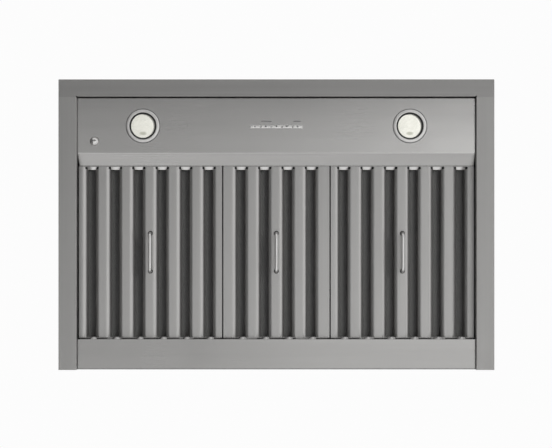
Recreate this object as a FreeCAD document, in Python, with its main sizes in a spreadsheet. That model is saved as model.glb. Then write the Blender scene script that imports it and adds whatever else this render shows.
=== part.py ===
"""Wall-hung chimney range hood, built as separate pieces in millimetres.

X runs along the wall, the wall is the plane Y = 0 with the hood on its -Y side, and Z is up.
The origin is the middle of the four wall screw holes.
"""
import FreeCAD, Part
import Sketcher
import math
import os
import re

# Driving dimensions, in millimetres and degrees.
SIZES = {
    # Canopy
    "hood_width": 914.4,
    "hood_depth": 609.6,
    "hang_height": 220.0,
    "skin": 1.2,
    "slope_wall": 2.0,
    "band_height": 60.0,
    "canopy_height": 300.0,
    "side_lip": 38.0,
    "front_lip": 36.0,
    "lip_return": 12.0,
    "corner_relief": 4.0,
    "wall_hole_radius": 4.0,
    "wall_hole_spread": 200.0,
    "wall_hole_rise": 100.0,
    # Control panel and rear rail
    "panel_front_gap": 3.6,
    "panel_depth": 115.0,
    "panel_flange": 20.0,
    "panel_end_gap": 2.2,
    "panel_shift": 1.6,
    "strip_run": 24.5,
    "strip_rise": 14.0,
    "bracket_reach": 20.0,
    "bracket_depth": 90.0,
    "rail_depth": 64.0,
    "rail_end_gap": 0.8,
    "rail_back_flange": 30.0,
    # Filters
    "filter_lift": 28.0,
    "filter_rim": 1.0,
    "filter_side_gap": 1.2,
    "filter_gap": 2.75,
    "filter_front_gap": 2.0,
    "filter_hinge_gap": 0.3,
    "filter_middle_width": 224.5,
    "filter_top_flange": 8.0,
    "tongue_width": 30.0,
    "tongue_reach": 7.0,
    "tongue_thickness": 2.0,
    "edge_rail_wide": 13.5,
    "edge_rail_middle": 24.0,
    "rib_flat": 21.5,
    "slot_end_rail": 2.5,
    "slot_slope": 5.5,
    "slot_front_slope": 8.0,
    "slot_depth": 18.0,
    "baffle_skin": 0.8,
    "mesh_thickness": 2.0,
    "handle_length": 86.0,
    "handle_stand": 20.0,
    "handle_wire_radius": 3.0,
    "handle_bend": 9.0,
    "handle_foot_radius": 5.0,
    "handle_foot_height": 2.5,
    "spring_width": 40.0,
    "spring_height": 10.0,
    "spring_stand": 0.6,
    # Lamps
    "lamp_inset": 138.2,
    "lamp_setback": 57.5,
    "bezel_radius": 36.0,
    "bezel_thickness": 2.0,
    "bezel_neck_radius": 30.0,
    "bezel_neck_wall": 1.5,
    "bezel_neck_height": 16.0,
    "lens_radius": 25.0,
    "lens_rim": 1.5,
    "seal_height": 3.0,
    "lamp_housing_height": 28.0,
    "lamp_housing_wall": 1.5,
    "lamp_board_thickness": 3.0,
    # Keys and control box
    "key_pitch": 22.3,
    "key_length": 20.4,
    "key_width": 6.0,
    "key_stand": 1.8,
    "key_clearance": 0.35,
    "key_flange": 0.4,
    "key_flange_thickness": 1.0,
    "key_rest_gap": 0.3,
    "key_stem_side": 4.0,
    "key_stem_length": 4.0,
    "key_travel": 1.5,
    "key_row_setback": 59.0,
    "switch_side": 6.0,
    "switch_height": 4.0,
    "board_thickness": 1.6,
    "board_length": 130.0,
    "board_width": 40.0,
    "box_wall": 1.5,
    "control_box_height": 34.0,
    "window_width": 2.0,
    "window_stand": 0.2,
    "window_offset": 11.0,
    "window_left_centre": -21.0,
    "window_left_length": 22.0,
    "window_right_centre": 43.5,
    "window_right_length": 15.0,
    "driver_lamp_gap": 25.0,
    "driver_length": 90.0,
    "driver_width": 38.0,
    "driver_height": 28.0,
    # Heat sensor
    "sensor_inset": 36.1,
    "sensor_setback": 90.0,
    "sensor_radius": 10.0,
    "sensor_stem_radius": 3.0,
    "sensor_stem_length": 18.0,
    "sensor_nut_size": 6.0,
    "sensor_nut_height": 5.0,
    "stem_clearance": 0.05,
    # Blower
    "blower_setback": 160.0,
    "blower_level": 175.0,
    "scroll_radius": 105.0,
    "scroll_offset": 10.0,
    "scroll_half_width": 100.0,
    "scroll_wall": 1.2,
    "outlet_side": 152.0,
    "inlet_radius": 70.0,
    "inlet_ring_wall": 5.0,
    "inlet_ring_length": 12.0,
    "inlet_ring_flange": 8.0,
    "impeller_radius": 80.0,
    "impeller_half_width": 85.0,
    "impeller_plate": 2.0,
    "impeller_ring": 3.0,
    "blade_depth": 17.0,
    "blade_thickness": 1.2,
    "blade_inset": 0.5,
    "blade_count": 32.0,
    "hub_radius": 12.0,
    "hub_length": 14.0,
    "shaft_radius": 4.0,
    "shaft_grip": 50.0,
    "running_gap": 0.05,
    "motor_radius": 42.0,
    "motor_front_gap": 8.0,
    "motor_nose_radius": 16.0,
    "motor_nose_length": 5.0,
    "motor_plate_radius": 58.0,
    "motor_plate_thickness": 2.0,
    "capacitor_radius": 17.0,
    "capacitor_length": 62.0,
    "capacitor_drop": 72.0,
    "capacitor_shift": 30.0,
    # Duct collar and damper
    "collar_radius": 75.0,
    "collar_wall": 1.0,
    "collar_height": 60.0,
    "collar_flange": 18.0,
    "damper_level": 22.0,
    "damper_rod_radius": 2.0,
    "damper_wall_gap": 1.5,
    "flap_thickness": 0.8,
    "flap_start": 4.5,
    "knuckle_wall": 1.4,
    "knuckle_length": 22.0,
    "knuckle_near": 12.0,
    "knuckle_far": 46.0,
    # Chimneys
    "chimney_width": 320.0,
    "chimney_depth": 290.0,
    "lower_chimney_height": 420.0,
    "upper_chimney_height": 430.0,
    "upper_skin": 1.0,
    "chimney_slide_gap": 0.5,
    "chimney_return": 14.0,
    "chimney_parked_lift": 30.0,
    "deck_flange": 25.0,
    "top_bracket_height": 30.0,
    "top_bracket_drop": 12.0,
    "top_bracket_arm": 40.0,
    "screw_radius": 2.0,
    "screw_clearance": 0.1,
    "screw_length": 8.0,
    "screw_head_radius": 4.0,
    "screw_head_height": 2.0,
    "screw_front_setback": 240.0,
    "screw_back_setback": 60.0,
    # Junction box and wiring
    "junction_start": 190.0,
    "junction_length": 80.0,
    "junction_depth": 40.0,
    "junction_height": 60.0,
    "junction_level": 100.0,
    "terminal_length": 48.0,
    "terminal_depth": 16.0,
    "terminal_height": 18.0,
    "gland_bore": 8.0,
    "gland_wall": 3.0,
    "gland_flange": 3.0,
    "gland_flange_length": 4.0,
    "gland_length": 18.0,
    "gland_rise": 40.0,
    "wire_radius": 2.0,
    "wire_bend": 14.0,
    "wire_entry_rise": 10.0,
    "wire_lamp_rise": 14.8,
}

KEYS = ("light_button", "low_button", "medium_button", "high_button", "power_button")
WIDE_FILTER_SLOTS = 6
MIDDLE_FILTER_SLOTS = 4
NUT_SIDES = 6
QUARTER_TURN = 90
FULL_TURN = 360
VOLUME_TOLERANCE = 0.02

# Where the main faces lie, as formulas of the driving dimensions.
UNDERSIDE = "(-hang_height)"
CANOPY_TOP = "(canopy_height - hang_height)"
DECK_TOP = "(canopy_height + skin - hang_height)"
OPENING_SIDE = "(hood_width / 2 - side_lip)"
OPENING_FRONT = "(front_lip - hood_depth)"
PANEL_LEVEL = "(lip_return - hang_height)"
PANEL_TOP = "(lip_return + skin - hang_height)"
PANEL_FRONT = "(front_lip + panel_front_gap - hood_depth)"
PANEL_HALF = f"({OPENING_SIDE} - panel_end_gap)"
STRIP_FRONT = "(front_lip + panel_front_gap + panel_depth - hood_depth)"
STRIP_REAR = "(front_lip + panel_front_gap + panel_depth + strip_run - hood_depth)"
STRIP_LEVEL = "(lip_return + strip_rise - hang_height)"
FILTER_LEVEL = "(filter_lift - hang_height)"
FILTER_TOP = "(filter_lift + slot_depth + mesh_thickness + filter_rim - hang_height)"
FILTER_FRONT = f"({STRIP_REAR} + filter_front_gap)"
FILTER_REAR = "(-rail_depth - filter_hinge_gap)"
FILTER_WIDE = "((hood_width - filter_middle_width) / 2 - side_lip - filter_side_gap - filter_gap)"
FILTER_SPREAD = f"(filter_middle_width / 2 + filter_gap + {FILTER_WIDE} / 2)"
LAMP_LINE = f"({PANEL_FRONT} + lamp_setback)"
LAMP_SPREAD = f"({OPENING_SIDE} - lamp_inset)"
SENSOR_X = f"(sensor_inset - {PANEL_HALF} - panel_shift)"
KEY_LINE = f"({PANEL_FRONT} + key_row_setback)"
BOARD_LEVEL = (
    f"({PANEL_TOP} + key_rest_gap + key_flange_thickness + key_stem_length"
    " + key_travel + key_rest_gap + switch_height)"
)
CONTROL_TOP = f"({PANEL_TOP} + control_box_height)"
BLOWER_AXIS_Y = "(-blower_setback)"
BLOWER_AXIS_Z = "(blower_level - hang_height)"
DAMPER_LEVEL = f"({DECK_TOP} + damper_level)"
CHIMNEY_SIDE = "(chimney_width / 2)"
UPPER_SIDE = "(chimney_width / 2 - skin - chimney_slide_gap)"
UPPER_FRONT = "(skin + chimney_slide_gap - chimney_depth)"
UPPER_LEVEL = f"({DECK_TOP} + chimney_parked_lift)"
LAMP_TOP = f"({PANEL_TOP} + bezel_neck_height + lamp_housing_height)"
JUNCTION_LEVEL = "(junction_level - hang_height)"
JUNCTION_FRONT = "(-skin - junction_depth - box_wall)"
NECK_BORE = "(bezel_neck_radius - bezel_neck_wall)"

doc = FreeCAD.newDocument("RangeHood")
sheet = doc.addObject("Spreadsheet::Sheet", "Sheet")
for row, (size_name, size) in enumerate(SIZES.items(), start=1):
    sheet.set(f"A{row}", size_name)
    sheet.set(f"B{row}", str(size))
    sheet.setAlias(f"B{row}", size_name)
doc.recompute()

AXIS_TURNS = {
    "x": FreeCAD.Rotation(FreeCAD.Vector(0, 1, 0), 90),
    "y": FreeCAD.Rotation(FreeCAD.Vector(1, 0, 0), -90),
    "z": FreeCAD.Rotation(),
}
sub_parts = []


def formula(text):
    """Return the text with every driving dimension written as its sheet cell."""
    def cell(word):
        return f"Sheet.{word.group(0)}" if word.group(0) in SIZES else word.group(0)
    return re.sub(r"[a-z_][a-z_0-9]*", cell, str(text))


def value(text):
    """Return what a formula of the driving dimensions comes to."""
    return float(sheet.evalExpression(formula(text)))


def bind(item, **formulas):
    """Tie properties of an item to formulas; a double underscore stands for a dot."""
    for path, text in formulas.items():
        item.setExpression(path.replace("__", "."), formula(text))
    return item


def place(item, x=0, y=0, z=0):
    """Tie the item's position to three formulas."""
    return bind(item, Placement__Base__x=x, Placement__Base__y=y, Placement__Base__z=z)


def turn(item, axis):
    """Turn an item built along Z so that it lies along the given axis."""
    item.Placement = FreeCAD.Placement(FreeCAD.Vector(), AXIS_TURNS[axis])
    return item


def both_sides(half):
    """Return the span from minus to plus a formula."""
    return (f"-({half})", f"({half})")


def around(centre, length):
    """Return the span of a length about a centre."""
    return (f"({centre}) - ({length}) / 2", f"({centre}) + ({length}) / 2")


def above(low, length):
    """Return the span that starts at a formula and has a length."""
    return (f"({low})", f"({low}) + ({length})")


def box(x, y, z):
    """Make a block between three (low, high) spans."""
    item = doc.addObject("Part::Box", "block")
    bind(
        item,
        Length=f"({x[1]}) - ({x[0]})",
        Width=f"({y[1]}) - ({y[0]})",
        Height=f"({z[1]}) - ({z[0]})",
    )
    return place(item, x[0], y[0], z[0])


def cylinder(axis, centre, span, radius):
    """Make a round bar along an axis; the centre's entry for that axis is not used."""
    item = turn(doc.addObject("Part::Cylinder", "bar"), axis)
    bind(item, Radius=radius, Height=f"({span[1]}) - ({span[0]})")
    start = [span[0] if letter == axis else entry for letter, entry in zip("xyz", centre)]
    return place(item, *start)


def tube(axis, centre, span, radius, bore):
    """Make a round bar with a bore right through it."""
    return cut(cylinder(axis, centre, span, radius), cylinder(axis, centre, span, bore))


def cut(base, *tools):
    """Take the tools out of the base."""
    item = doc.addObject("Part::Cut", "cut")
    item.Base = base
    item.Tool = tools[0] if len(tools) == 1 else fuse(*tools)
    return item


def fuse(*pieces):
    """Join the pieces into one solid."""
    item = doc.addObject("Part::MultiFuse", "joined")
    item.Shapes = list(pieces)
    item.Refine = True
    return item


def group(*pieces):
    """Keep like pieces together as separate solids."""
    item = doc.addObject("Part::Compound", "group")
    item.Links = list(pieces)
    return item


def sub_part(name, item):
    """Give a finished piece its name and put it on the list of sub-parts."""
    item.Label = name
    sub_parts.append(item)
    return item


def own_plane(body, role):
    """Return one of a body's own origin planes or axes."""
    return next(item for item in body.Origin.OriginFeatures if item.Role == role)


def new_sketch(body, role):
    """Start a sketch on one of the body's own planes."""
    sketch = body.newObject("Sketcher::SketchObject", "outline")
    sketch.AttachmentSupport = [(own_plane(body, role), "")]
    sketch.MapMode = "FlatFace"
    return sketch


def add_outline(sketch, corners):
    """Draw a closed outline whose corners are pairs of formulas."""
    points = [FreeCAD.Vector(value(across), value(up), 0) for across, up in corners]
    first = sketch.GeometryCount
    count = len(points)
    for number, point in enumerate(points):
        sketch.addGeometry(Part.LineSegment(point, points[(number + 1) % count]))
    for number in range(count):
        following = first + (number + 1) % count
        sketch.addConstraint(Sketcher.Constraint("Coincident", first + number, 2, following, 1))
    for number, corner in enumerate(corners):
        for kind, text in zip(("DistanceX", "DistanceY"), corner):
            limit = Sketcher.Constraint(kind, -1, 1, first + number, 1, value(text))
            constraint = sketch.addConstraint(limit)
            sketch.setExpression(f"Constraints[{constraint}]", formula(text))


def extrusion(role, corners, length):
    """Make a body padded from a closed outline on one of its planes."""
    body = doc.addObject("PartDesign::Body", "extrusion")
    sketch = new_sketch(body, role)
    add_outline(sketch, corners)
    pad = body.newObject("PartDesign::Pad", "pad")
    pad.Profile = sketch
    bind(pad, Length=length)
    return body


def revolution(corners):
    """Make a body turned about Z from a closed outline of (radius, height) pairs."""
    body = doc.addObject("PartDesign::Body", "turned")
    sketch = new_sketch(body, "XZ_Plane")
    add_outline(sketch, corners)
    turned = body.newObject("PartDesign::Revolution", "revolution")
    turned.Profile = sketch
    turned.ReferenceAxis = (sketch, ["V_Axis"])
    turned.Angle = FULL_TURN
    return body


def hip(low_side, low_depth, high_side, high_depth, level, height):
    """Make the sloped block between two rectangles that both end at the wall."""
    item = doc.addObject("Part::Wedge", "hip")
    upright = FreeCAD.Rotation(FreeCAD.Vector(1, 0, 0), 90)
    item.Placement = FreeCAD.Placement(FreeCAD.Vector(), upright)
    bind(item, Xmin=f"-({low_side})", Xmax=low_side, X2min=f"-({high_side})", X2max=high_side)
    bind(item, Zmin="0", Zmax=low_depth, Z2min="0", Z2max=high_depth, Ymin="0", Ymax=height)
    return place(item, z=level)


# Canopy


def canopy_shell():
    """Outer skin: folded rim, upright band and the slopes up to the chimney."""
    side = "hood_width / 2"
    band_top = "(band_height - hang_height)"
    slope_height = "(canopy_height - band_height)"
    outside = fuse(
        box(both_sides(side), ("-hood_depth", "0"), (UNDERSIDE, band_top)),
        hip(side, "hood_depth", CHIMNEY_SIDE, "chimney_depth", band_top, slope_height),
    )
    inside = fuse(
        box(both_sides(f"{side} - skin"), ("skin - hood_depth", "skin"), (f"{UNDERSIDE} + skin", band_top)),
        hip(
            f"{side} - slope_wall",
            "hood_depth - slope_wall",
            f"{CHIMNEY_SIDE} - slope_wall",
            "chimney_depth - slope_wall",
            band_top,
            slope_height,
        ),
    )
    opening_y = (OPENING_FRONT, "skin")
    opening = box(both_sides(OPENING_SIDE), opening_y, (f"{UNDERSIDE} - skin", f"{PANEL_LEVEL} + skin"))
    return_plan = (both_sides(f"{OPENING_SIDE} + skin"), (f"{OPENING_FRONT} - skin", "0"))
    return_edge = box(*return_plan, (UNDERSIDE, PANEL_LEVEL))
    reliefs = [
        box(
            around(f"{sign}{OPENING_SIDE}", "corner_relief"),
            around(OPENING_FRONT, "corner_relief"),
            (f"{UNDERSIDE} - skin", f"{PANEL_LEVEL} + skin"),
        )
        for sign in ("-", "")
    ]
    shell = fuse(cut(outside, inside), return_edge)
    sub_part("canopy_shell", cut(shell, opening, *reliefs))


def canopy_back_panel():
    """Sheet against the wall, with the four wall screw holes and the cable hole."""
    low = "(hood_width / 2 - slope_wall)"
    high = f"({CHIMNEY_SIDE} - slope_wall)"
    band_top = "(band_height - hang_height)"
    corners = [
        (f"-{low}", PANEL_LEVEL),
        (low, PANEL_LEVEL),
        (low, band_top),
        (high, CANOPY_TOP),
        (f"-{high}", CANOPY_TOP),
        (f"-{low}", band_top),
    ]
    panel = extrusion("XZ_Plane", corners, "skin")
    through = ("-2 * skin", "skin")
    holes = []
    for across in ("-wall_hole_spread / 2", "wall_hole_spread / 2"):
        for up in ("-wall_hole_rise / 2", "wall_hole_rise / 2"):
            holes.append(cylinder("y", (across, 0, up), through, "wall_hole_radius"))
    cable_hole = cylinder("y", (gland_x(), 0, gland_z()), through, "gland_bore + gland_wall")
    sub_part("canopy_back_panel", cut(panel, *holes, cable_hole))


def panel_hole(x, y):
    """Make the block that cuts a rectangular hole through the control panel."""
    return box(x, y, (f"{PANEL_LEVEL} - skin", f"{PANEL_TOP} + skin"))


def panel_bore(x, y, radius):
    """Make the bar that cuts a round hole through the control panel."""
    return cylinder("z", (x, y, 0), (f"{PANEL_LEVEL} - skin", f"{PANEL_TOP} + skin"), radius)


def control_panel():
    """Folded sheet that carries the lamps and keys, with the strip that rises to the filters."""
    flange_top = f"{PANEL_TOP} + panel_flange"
    corners = [
        (PANEL_FRONT, PANEL_LEVEL),
        (STRIP_FRONT, PANEL_LEVEL),
        (STRIP_REAR, STRIP_LEVEL),
        (STRIP_REAR, f"{STRIP_LEVEL} + panel_flange"),
        (f"{STRIP_REAR} - skin", f"{STRIP_LEVEL} + panel_flange"),
        (f"{STRIP_REAR} - skin", f"{STRIP_LEVEL} + skin"),
        (STRIP_FRONT, PANEL_TOP),
        (f"{PANEL_FRONT} + skin", PANEL_TOP),
        (f"{PANEL_FRONT} + skin", flange_top),
        (PANEL_FRONT, flange_top),
    ]
    sheet_metal = extrusion("YZ_Plane", corners, f"2 * {PANEL_HALF}")
    place(sheet_metal, x=f"-{PANEL_HALF} - panel_shift")
    key_y = around(KEY_LINE, "key_width + 2 * key_clearance")
    lamp_hole = "bezel_neck_radius + stem_clearance"
    holes = [panel_hole(*window_plan(name)) for name in ("left", "right")]
    for number in range(len(KEYS)):
        holes.append(panel_hole(around(key_x(number), "key_length + 2 * key_clearance"), key_y))
    for lamp_x in (f"-{LAMP_SPREAD}", LAMP_SPREAD):
        holes.append(panel_bore(lamp_x, LAMP_LINE, lamp_hole))
    holes.append(panel_bore(SENSOR_X, sensor_y(), "sensor_stem_radius + stem_clearance"))
    sub_part("control_panel", cut(sheet_metal, *holes))


def panel_brackets():
    """Angle brackets that hold the ends of the control panel to the canopy sides."""
    wall = "(hood_width / 2 - skin)"
    depth = around(f"({PANEL_FRONT} + {STRIP_FRONT}) / 2", "bracket_depth")
    shelf = (f"{OPENING_SIDE} - bracket_reach", wall)
    leg = (f"{wall} - skin", wall)
    brackets = []
    for flip in (False, True):
        spans = [tuple(f"-({end})" for end in reversed(span)) if flip else span for span in (shelf, leg)]
        flat = box(spans[0], depth, above(PANEL_TOP, "skin"))
        upright = box(spans[1], depth, above(PANEL_TOP, "bracket_reach"))
        brackets.append(fuse(flat, upright))
    sub_part("panel_brackets", group(*brackets))


def rear_rail():
    """Channel along the wall whose front edge carries the filters."""
    seat = f"{FILTER_LEVEL} - filter_hinge_gap"
    corners = [
        ("-rail_depth", PANEL_LEVEL),
        ("-skin", PANEL_LEVEL),
        ("-skin", f"{PANEL_LEVEL} + rail_back_flange"),
        ("-2 * skin", f"{PANEL_LEVEL} + rail_back_flange"),
        ("-2 * skin", PANEL_TOP),
        ("skin - rail_depth", PANEL_TOP),
        ("skin - rail_depth", seat),
        ("-rail_depth", seat),
    ]
    half = f"({OPENING_SIDE} - rail_end_gap)"
    sub_part("rear_rail", place(extrusion("YZ_Plane", corners, f"2 * {half}"), x=f"-{half}"))


def top_deck():
    """Plate that closes the canopy, with the duct hole and the flange inside the chimney."""
    plate = box(both_sides(CHIMNEY_SIDE), ("-chimney_depth", "0"), (CANOPY_TOP, DECK_TOP))
    flange_z = above(DECK_TOP, "deck_flange")
    flange = cut(
        box(both_sides(f"{CHIMNEY_SIDE} - skin"), ("skin - chimney_depth", "-2 * skin"), flange_z),
        box(both_sides(f"{CHIMNEY_SIDE} - 2 * skin"), ("2 * skin - chimney_depth", "0"), flange_z),
    )
    duct_z = (f"{CANOPY_TOP} - skin", f"{DECK_TOP} + skin")
    duct = cylinder("z", (0, BLOWER_AXIS_Y, 0), duct_z, "collar_radius - collar_wall")
    sub_part("top_deck", cut(fuse(plate, flange), duct, *screw_bars("screw_radius + screw_clearance")))


# Chimneys


def screw_lines():
    """Return the two lines along X on which the chimney screws lie."""
    level = f"{DECK_TOP} + deck_flange / 2"
    return [(0, setback, level) for setback in ("-screw_front_setback", "-screw_back_setback")]


def screw_bars(radius):
    """Make the bars along X through the chimney sides, two on each side."""
    right = (f"{CHIMNEY_SIDE} - screw_length", CHIMNEY_SIDE)
    left = (f"-{CHIMNEY_SIDE}", f"screw_length - {CHIMNEY_SIDE}")
    return [cylinder("x", line, span, radius) for span in (right, left) for line in screw_lines()]


def chimney_screws():
    """Pan-head screws that hold the lower chimney to the deck."""
    right = above(CHIMNEY_SIDE, "screw_head_height")
    left = (f"-{CHIMNEY_SIDE} - screw_head_height", f"-{CHIMNEY_SIDE}")
    heads = []
    for span in (right, left):
        for line in screw_lines():
            heads.append(cylinder("x", line, span, "screw_head_radius"))
    screws = [fuse(head, shank) for head, shank in zip(heads, screw_bars("screw_radius"))]
    sub_part("chimney_screws", group(*screws))


def lower_chimney():
    """Three-sided cover with narrow returns along the wall."""
    inside = f"({CHIMNEY_SIDE} - skin)"
    lip = f"({CHIMNEY_SIDE} - chimney_return)"
    right = [
        (CHIMNEY_SIDE, "-chimney_depth"),
        (CHIMNEY_SIDE, "0"),
        (lip, "0"),
        (lip, "-skin"),
        (inside, "-skin"),
        (inside, "skin - chimney_depth"),
    ]
    left = [(f"-{x}", y) for x, y in reversed(right)]
    cover = place(extrusion("XY_Plane", right + left, "lower_chimney_height"), z=DECK_TOP)
    sub_part("lower_chimney", cut(cover, *screw_bars("screw_radius + screw_clearance")))


def upper_chimney():
    """Three-sided cover that slides inside the lower chimney."""
    inside = f"({UPPER_SIDE} - upper_skin)"
    back = "(-skin - chimney_slide_gap)"
    right = [
        (UPPER_SIDE, UPPER_FRONT),
        (UPPER_SIDE, back),
        (inside, back),
        (inside, f"{UPPER_FRONT} + upper_skin"),
    ]
    left = [(f"-{x}", y) for x, y in reversed(right)]
    cover = extrusion("XY_Plane", right + left, "upper_chimney_height")
    sub_part("upper_chimney", place(cover, z=UPPER_LEVEL))


def chimney_top_bracket():
    """Bracket in the head of the upper chimney that screws to the wall."""
    inside = f"({UPPER_SIDE} - upper_skin)"
    back = "(-skin - chimney_slide_gap)"
    top = f"({UPPER_LEVEL} + upper_chimney_height - top_bracket_drop)"
    level = (f"{top} - top_bracket_height", top)
    wall_plate = box(both_sides(inside), (f"{back} - skin", back), level)
    arm_y = (f"{back} - top_bracket_arm", back)
    arms = [
        box((f"{inside} - skin", inside), arm_y, level),
        box((f"-{inside}", f"skin - {inside}"), arm_y, level),
    ]
    holes = [
        cylinder("y", (f"{sign}wall_hole_spread / 2", 0, f"{top} - top_bracket_height / 2"),
                 (f"{back} - 2 * skin", f"{back} + skin"), "wall_hole_radius")
        for sign in ("-", "")
    ]
    sub_part("chimney_top_bracket", cut(fuse(wall_plate, *arms), *holes))


# Filters


def slot_block(left, width, grow):
    """Make the tapered block of one filter slot, grown sideways by a sheet thickness."""
    item = doc.addObject("Part::Wedge", "slot")
    upright = FreeCAD.Rotation(FreeCAD.Vector(1, 0, 0), 90)
    item.Placement = FreeCAD.Placement(FreeCAD.Vector(), upright)
    across = f"({width} + 2 * {grow})"
    along = f"({FILTER_REAR} - {FILTER_FRONT} - 2 * (filter_rim + slot_end_rail - {grow}))"
    bind(item, Xmin="0", Xmax=across, X2min="slot_slope", X2max=f"{across} - slot_slope")
    bind(item, Zmin="0", Zmax=along, Z2min="0", Z2max=f"{along} - slot_front_slope")
    bind(item, Ymin="0", Ymax="slot_depth")
    rear = f"{FILTER_REAR} - filter_rim - slot_end_rail + {grow}"
    return place(item, f"{left} - {grow}", rear, FILTER_LEVEL)


def filter_frame(name, centre, width):
    """Rim of one filter with a top flange and two rear tongues that rest on the rail."""
    x = around(centre, width)
    inner_x = (f"{x[0]} + filter_rim", f"{x[1]} - filter_rim")
    inner_y = (f"{FILTER_FRONT} + filter_rim", f"{FILTER_REAR} - filter_rim")
    window_x = (f"{x[0]} + filter_top_flange", f"{x[1]} - filter_top_flange")
    window_y = (f"{FILTER_FRONT} + filter_top_flange", f"{FILTER_REAR} - filter_top_flange")
    rim = cut(
        box(x, (FILTER_FRONT, FILTER_REAR), (FILTER_LEVEL, FILTER_TOP)),
        box(inner_x, inner_y, (FILTER_LEVEL, f"{FILTER_TOP} - filter_rim")),
        box(window_x, window_y, (FILTER_LEVEL, FILTER_TOP)),
    )
    tongues = [
        box(
            around(f"{centre} {sign} {width} / 4", "tongue_width"),
            above(FILTER_REAR, "tongue_reach"),
            above(FILTER_LEVEL, "tongue_thickness"),
        )
        for sign in ("-", "+")
    ]
    sub_part(f"{name}_frame", fuse(rim, *tongues))


def filter_baffle(name, centre, width, slots, edge_rail):
    """Pressed plate of one filter: long slots with sloped walls that lead up to the mesh."""
    x = around(centre, width)
    inner_x = (f"{x[0]} + filter_rim", f"{x[1]} - filter_rim")
    inner_y = (f"{FILTER_FRONT} + filter_rim", f"{FILTER_REAR} - filter_rim")
    slot_width = f"(({width} - 2 * {edge_rail} - {slots - 1} * rib_flat) / {slots})"
    lefts = [f"({x[0]} + {edge_rail} + {number} * ({slot_width} + rib_flat))" for number in range(slots)]
    plate = box(inner_x, inner_y, above(FILTER_LEVEL, "baffle_skin"))
    walls = [slot_block(left, slot_width, "baffle_skin") for left in lefts]
    voids = [slot_block(left, slot_width, "0") for left in lefts]
    sub_part(f"{name}_baffle", cut(fuse(plate, *walls), *voids))


def filter_mesh(name, centre, width):
    """Pad of layered metal mesh behind the slots."""
    x = around(centre, f"{width} - 2 * filter_rim")
    y = (f"{FILTER_FRONT} + filter_rim", f"{FILTER_REAR} - filter_rim")
    sub_part(f"{name}_mesh", box(x, y, above(f"{FILTER_LEVEL} + slot_depth", "mesh_thickness")))


def handle_elbow(centre, y, z, first, second):
    """Make a quarter bend of the handle wire between two directions."""
    item = doc.addObject("Part::Torus", "elbow")
    turned = FreeCAD.Rotation(FreeCAD.Vector(*first), FreeCAD.Vector(*second), FreeCAD.Vector(1, 0, 0), "XYZ")
    item.Placement = FreeCAD.Placement(FreeCAD.Vector(), turned)
    item.Angle3 = QUARTER_TURN
    bind(item, Radius1="handle_bend", Radius2="handle_wire_radius")
    return place(item, centre, y, z)


def filter_handle(name, centre):
    """Bent wire pull on the middle rib of one filter."""
    middle = f"(({FILTER_FRONT} + {FILTER_REAR}) / 2)"
    reach = "(handle_length / 2 - handle_wire_radius)"
    bar_z = f"({FILTER_LEVEL} - handle_stand + handle_wire_radius)"
    bend_z = f"({bar_z} + handle_bend)"
    down = (0, 0, -1)
    bar_y = (f"{middle} - {reach} + handle_bend", f"{middle} + {reach} - handle_bend")
    pieces = [
        cylinder("y", (centre, 0, bar_z), bar_y, "handle_wire_radius"),
        handle_elbow(centre, bar_y[0], bend_z, (0, -1, 0), down),
        handle_elbow(centre, bar_y[1], bend_z, down, (0, 1, 0)),
    ]
    for leg_y in (f"{middle} - {reach}", f"{middle} + {reach}"):
        pieces.append(cylinder("z", (centre, leg_y, 0), (bend_z, FILTER_LEVEL), "handle_wire_radius"))
        foot_z = (f"{FILTER_LEVEL} - handle_foot_height", FILTER_LEVEL)
        pieces.append(cylinder("z", (centre, leg_y, 0), foot_z, "handle_foot_radius"))
    sub_part(f"{name}_handle", fuse(*pieces))


def filter_springs(centres):
    """Leaf springs on the panel flange that press on the fronts of the filters."""
    half = "spring_width / 2"
    crest = f"{half} / 2"
    corners = [(f"-{half}", "0"), (half, "0"), (crest, "spring_stand"), (f"-{crest}", "spring_stand")]
    level = f"{STRIP_LEVEL} + panel_flange - spring_height"
    springs = [place(extrusion("XY_Plane", corners, "spring_height"), x, STRIP_REAR, level) for x in centres]
    sub_part("filter_springs", group(*springs))


def filters():
    """Three filters side by side: two wide ones and a narrower one between them."""
    wide = (FILTER_WIDE, WIDE_FILTER_SLOTS, "edge_rail_wide")
    narrow = ("filter_middle_width", MIDDLE_FILTER_SLOTS, "edge_rail_middle")
    row = {
        "filter_left": (f"(-{FILTER_SPREAD})", *wide),
        "filter_middle": ("0", *narrow),
        "filter_right": (FILTER_SPREAD, *wide),
    }
    for name, (centre, width, slots, edge_rail) in row.items():
        filter_frame(name, centre, width)
        filter_baffle(name, centre, width, slots, edge_rail)
        filter_mesh(name, centre, width)
        filter_handle(name, centre)
    filter_springs([centre for centre, *_ in row.values()])


# Lamps


def lamp_bezel(side, x):
    """Trim ring below the panel with a neck up through it."""
    neck_top = "(skin + bezel_neck_height)"
    corners = [
        (NECK_BORE, "-bezel_thickness"),
        ("bezel_radius - bezel_thickness", "-bezel_thickness"),
        ("bezel_radius", "0"),
        ("bezel_neck_radius", "0"),
        ("bezel_neck_radius", neck_top),
        (NECK_BORE, neck_top),
    ]
    sub_part(f"lamp_{side}_bezel", place(revolution(corners), x, LAMP_LINE, PANEL_LEVEL))


def lamp_lens(side, x):
    """Stepped glass disc whose wide rim lies on the seal."""
    rim_radius = f"({NECK_BORE} - stem_clearance)"
    rim_top = "(seal_height + lens_rim)"
    corners = [
        ("0", "0"),
        ("lens_radius", "0"),
        ("lens_radius", "seal_height"),
        (rim_radius, "seal_height"),
        (rim_radius, rim_top),
        ("0", rim_top),
    ]
    sub_part(f"lamp_{side}_lens", place(revolution(corners), x, LAMP_LINE, PANEL_LEVEL))


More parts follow.
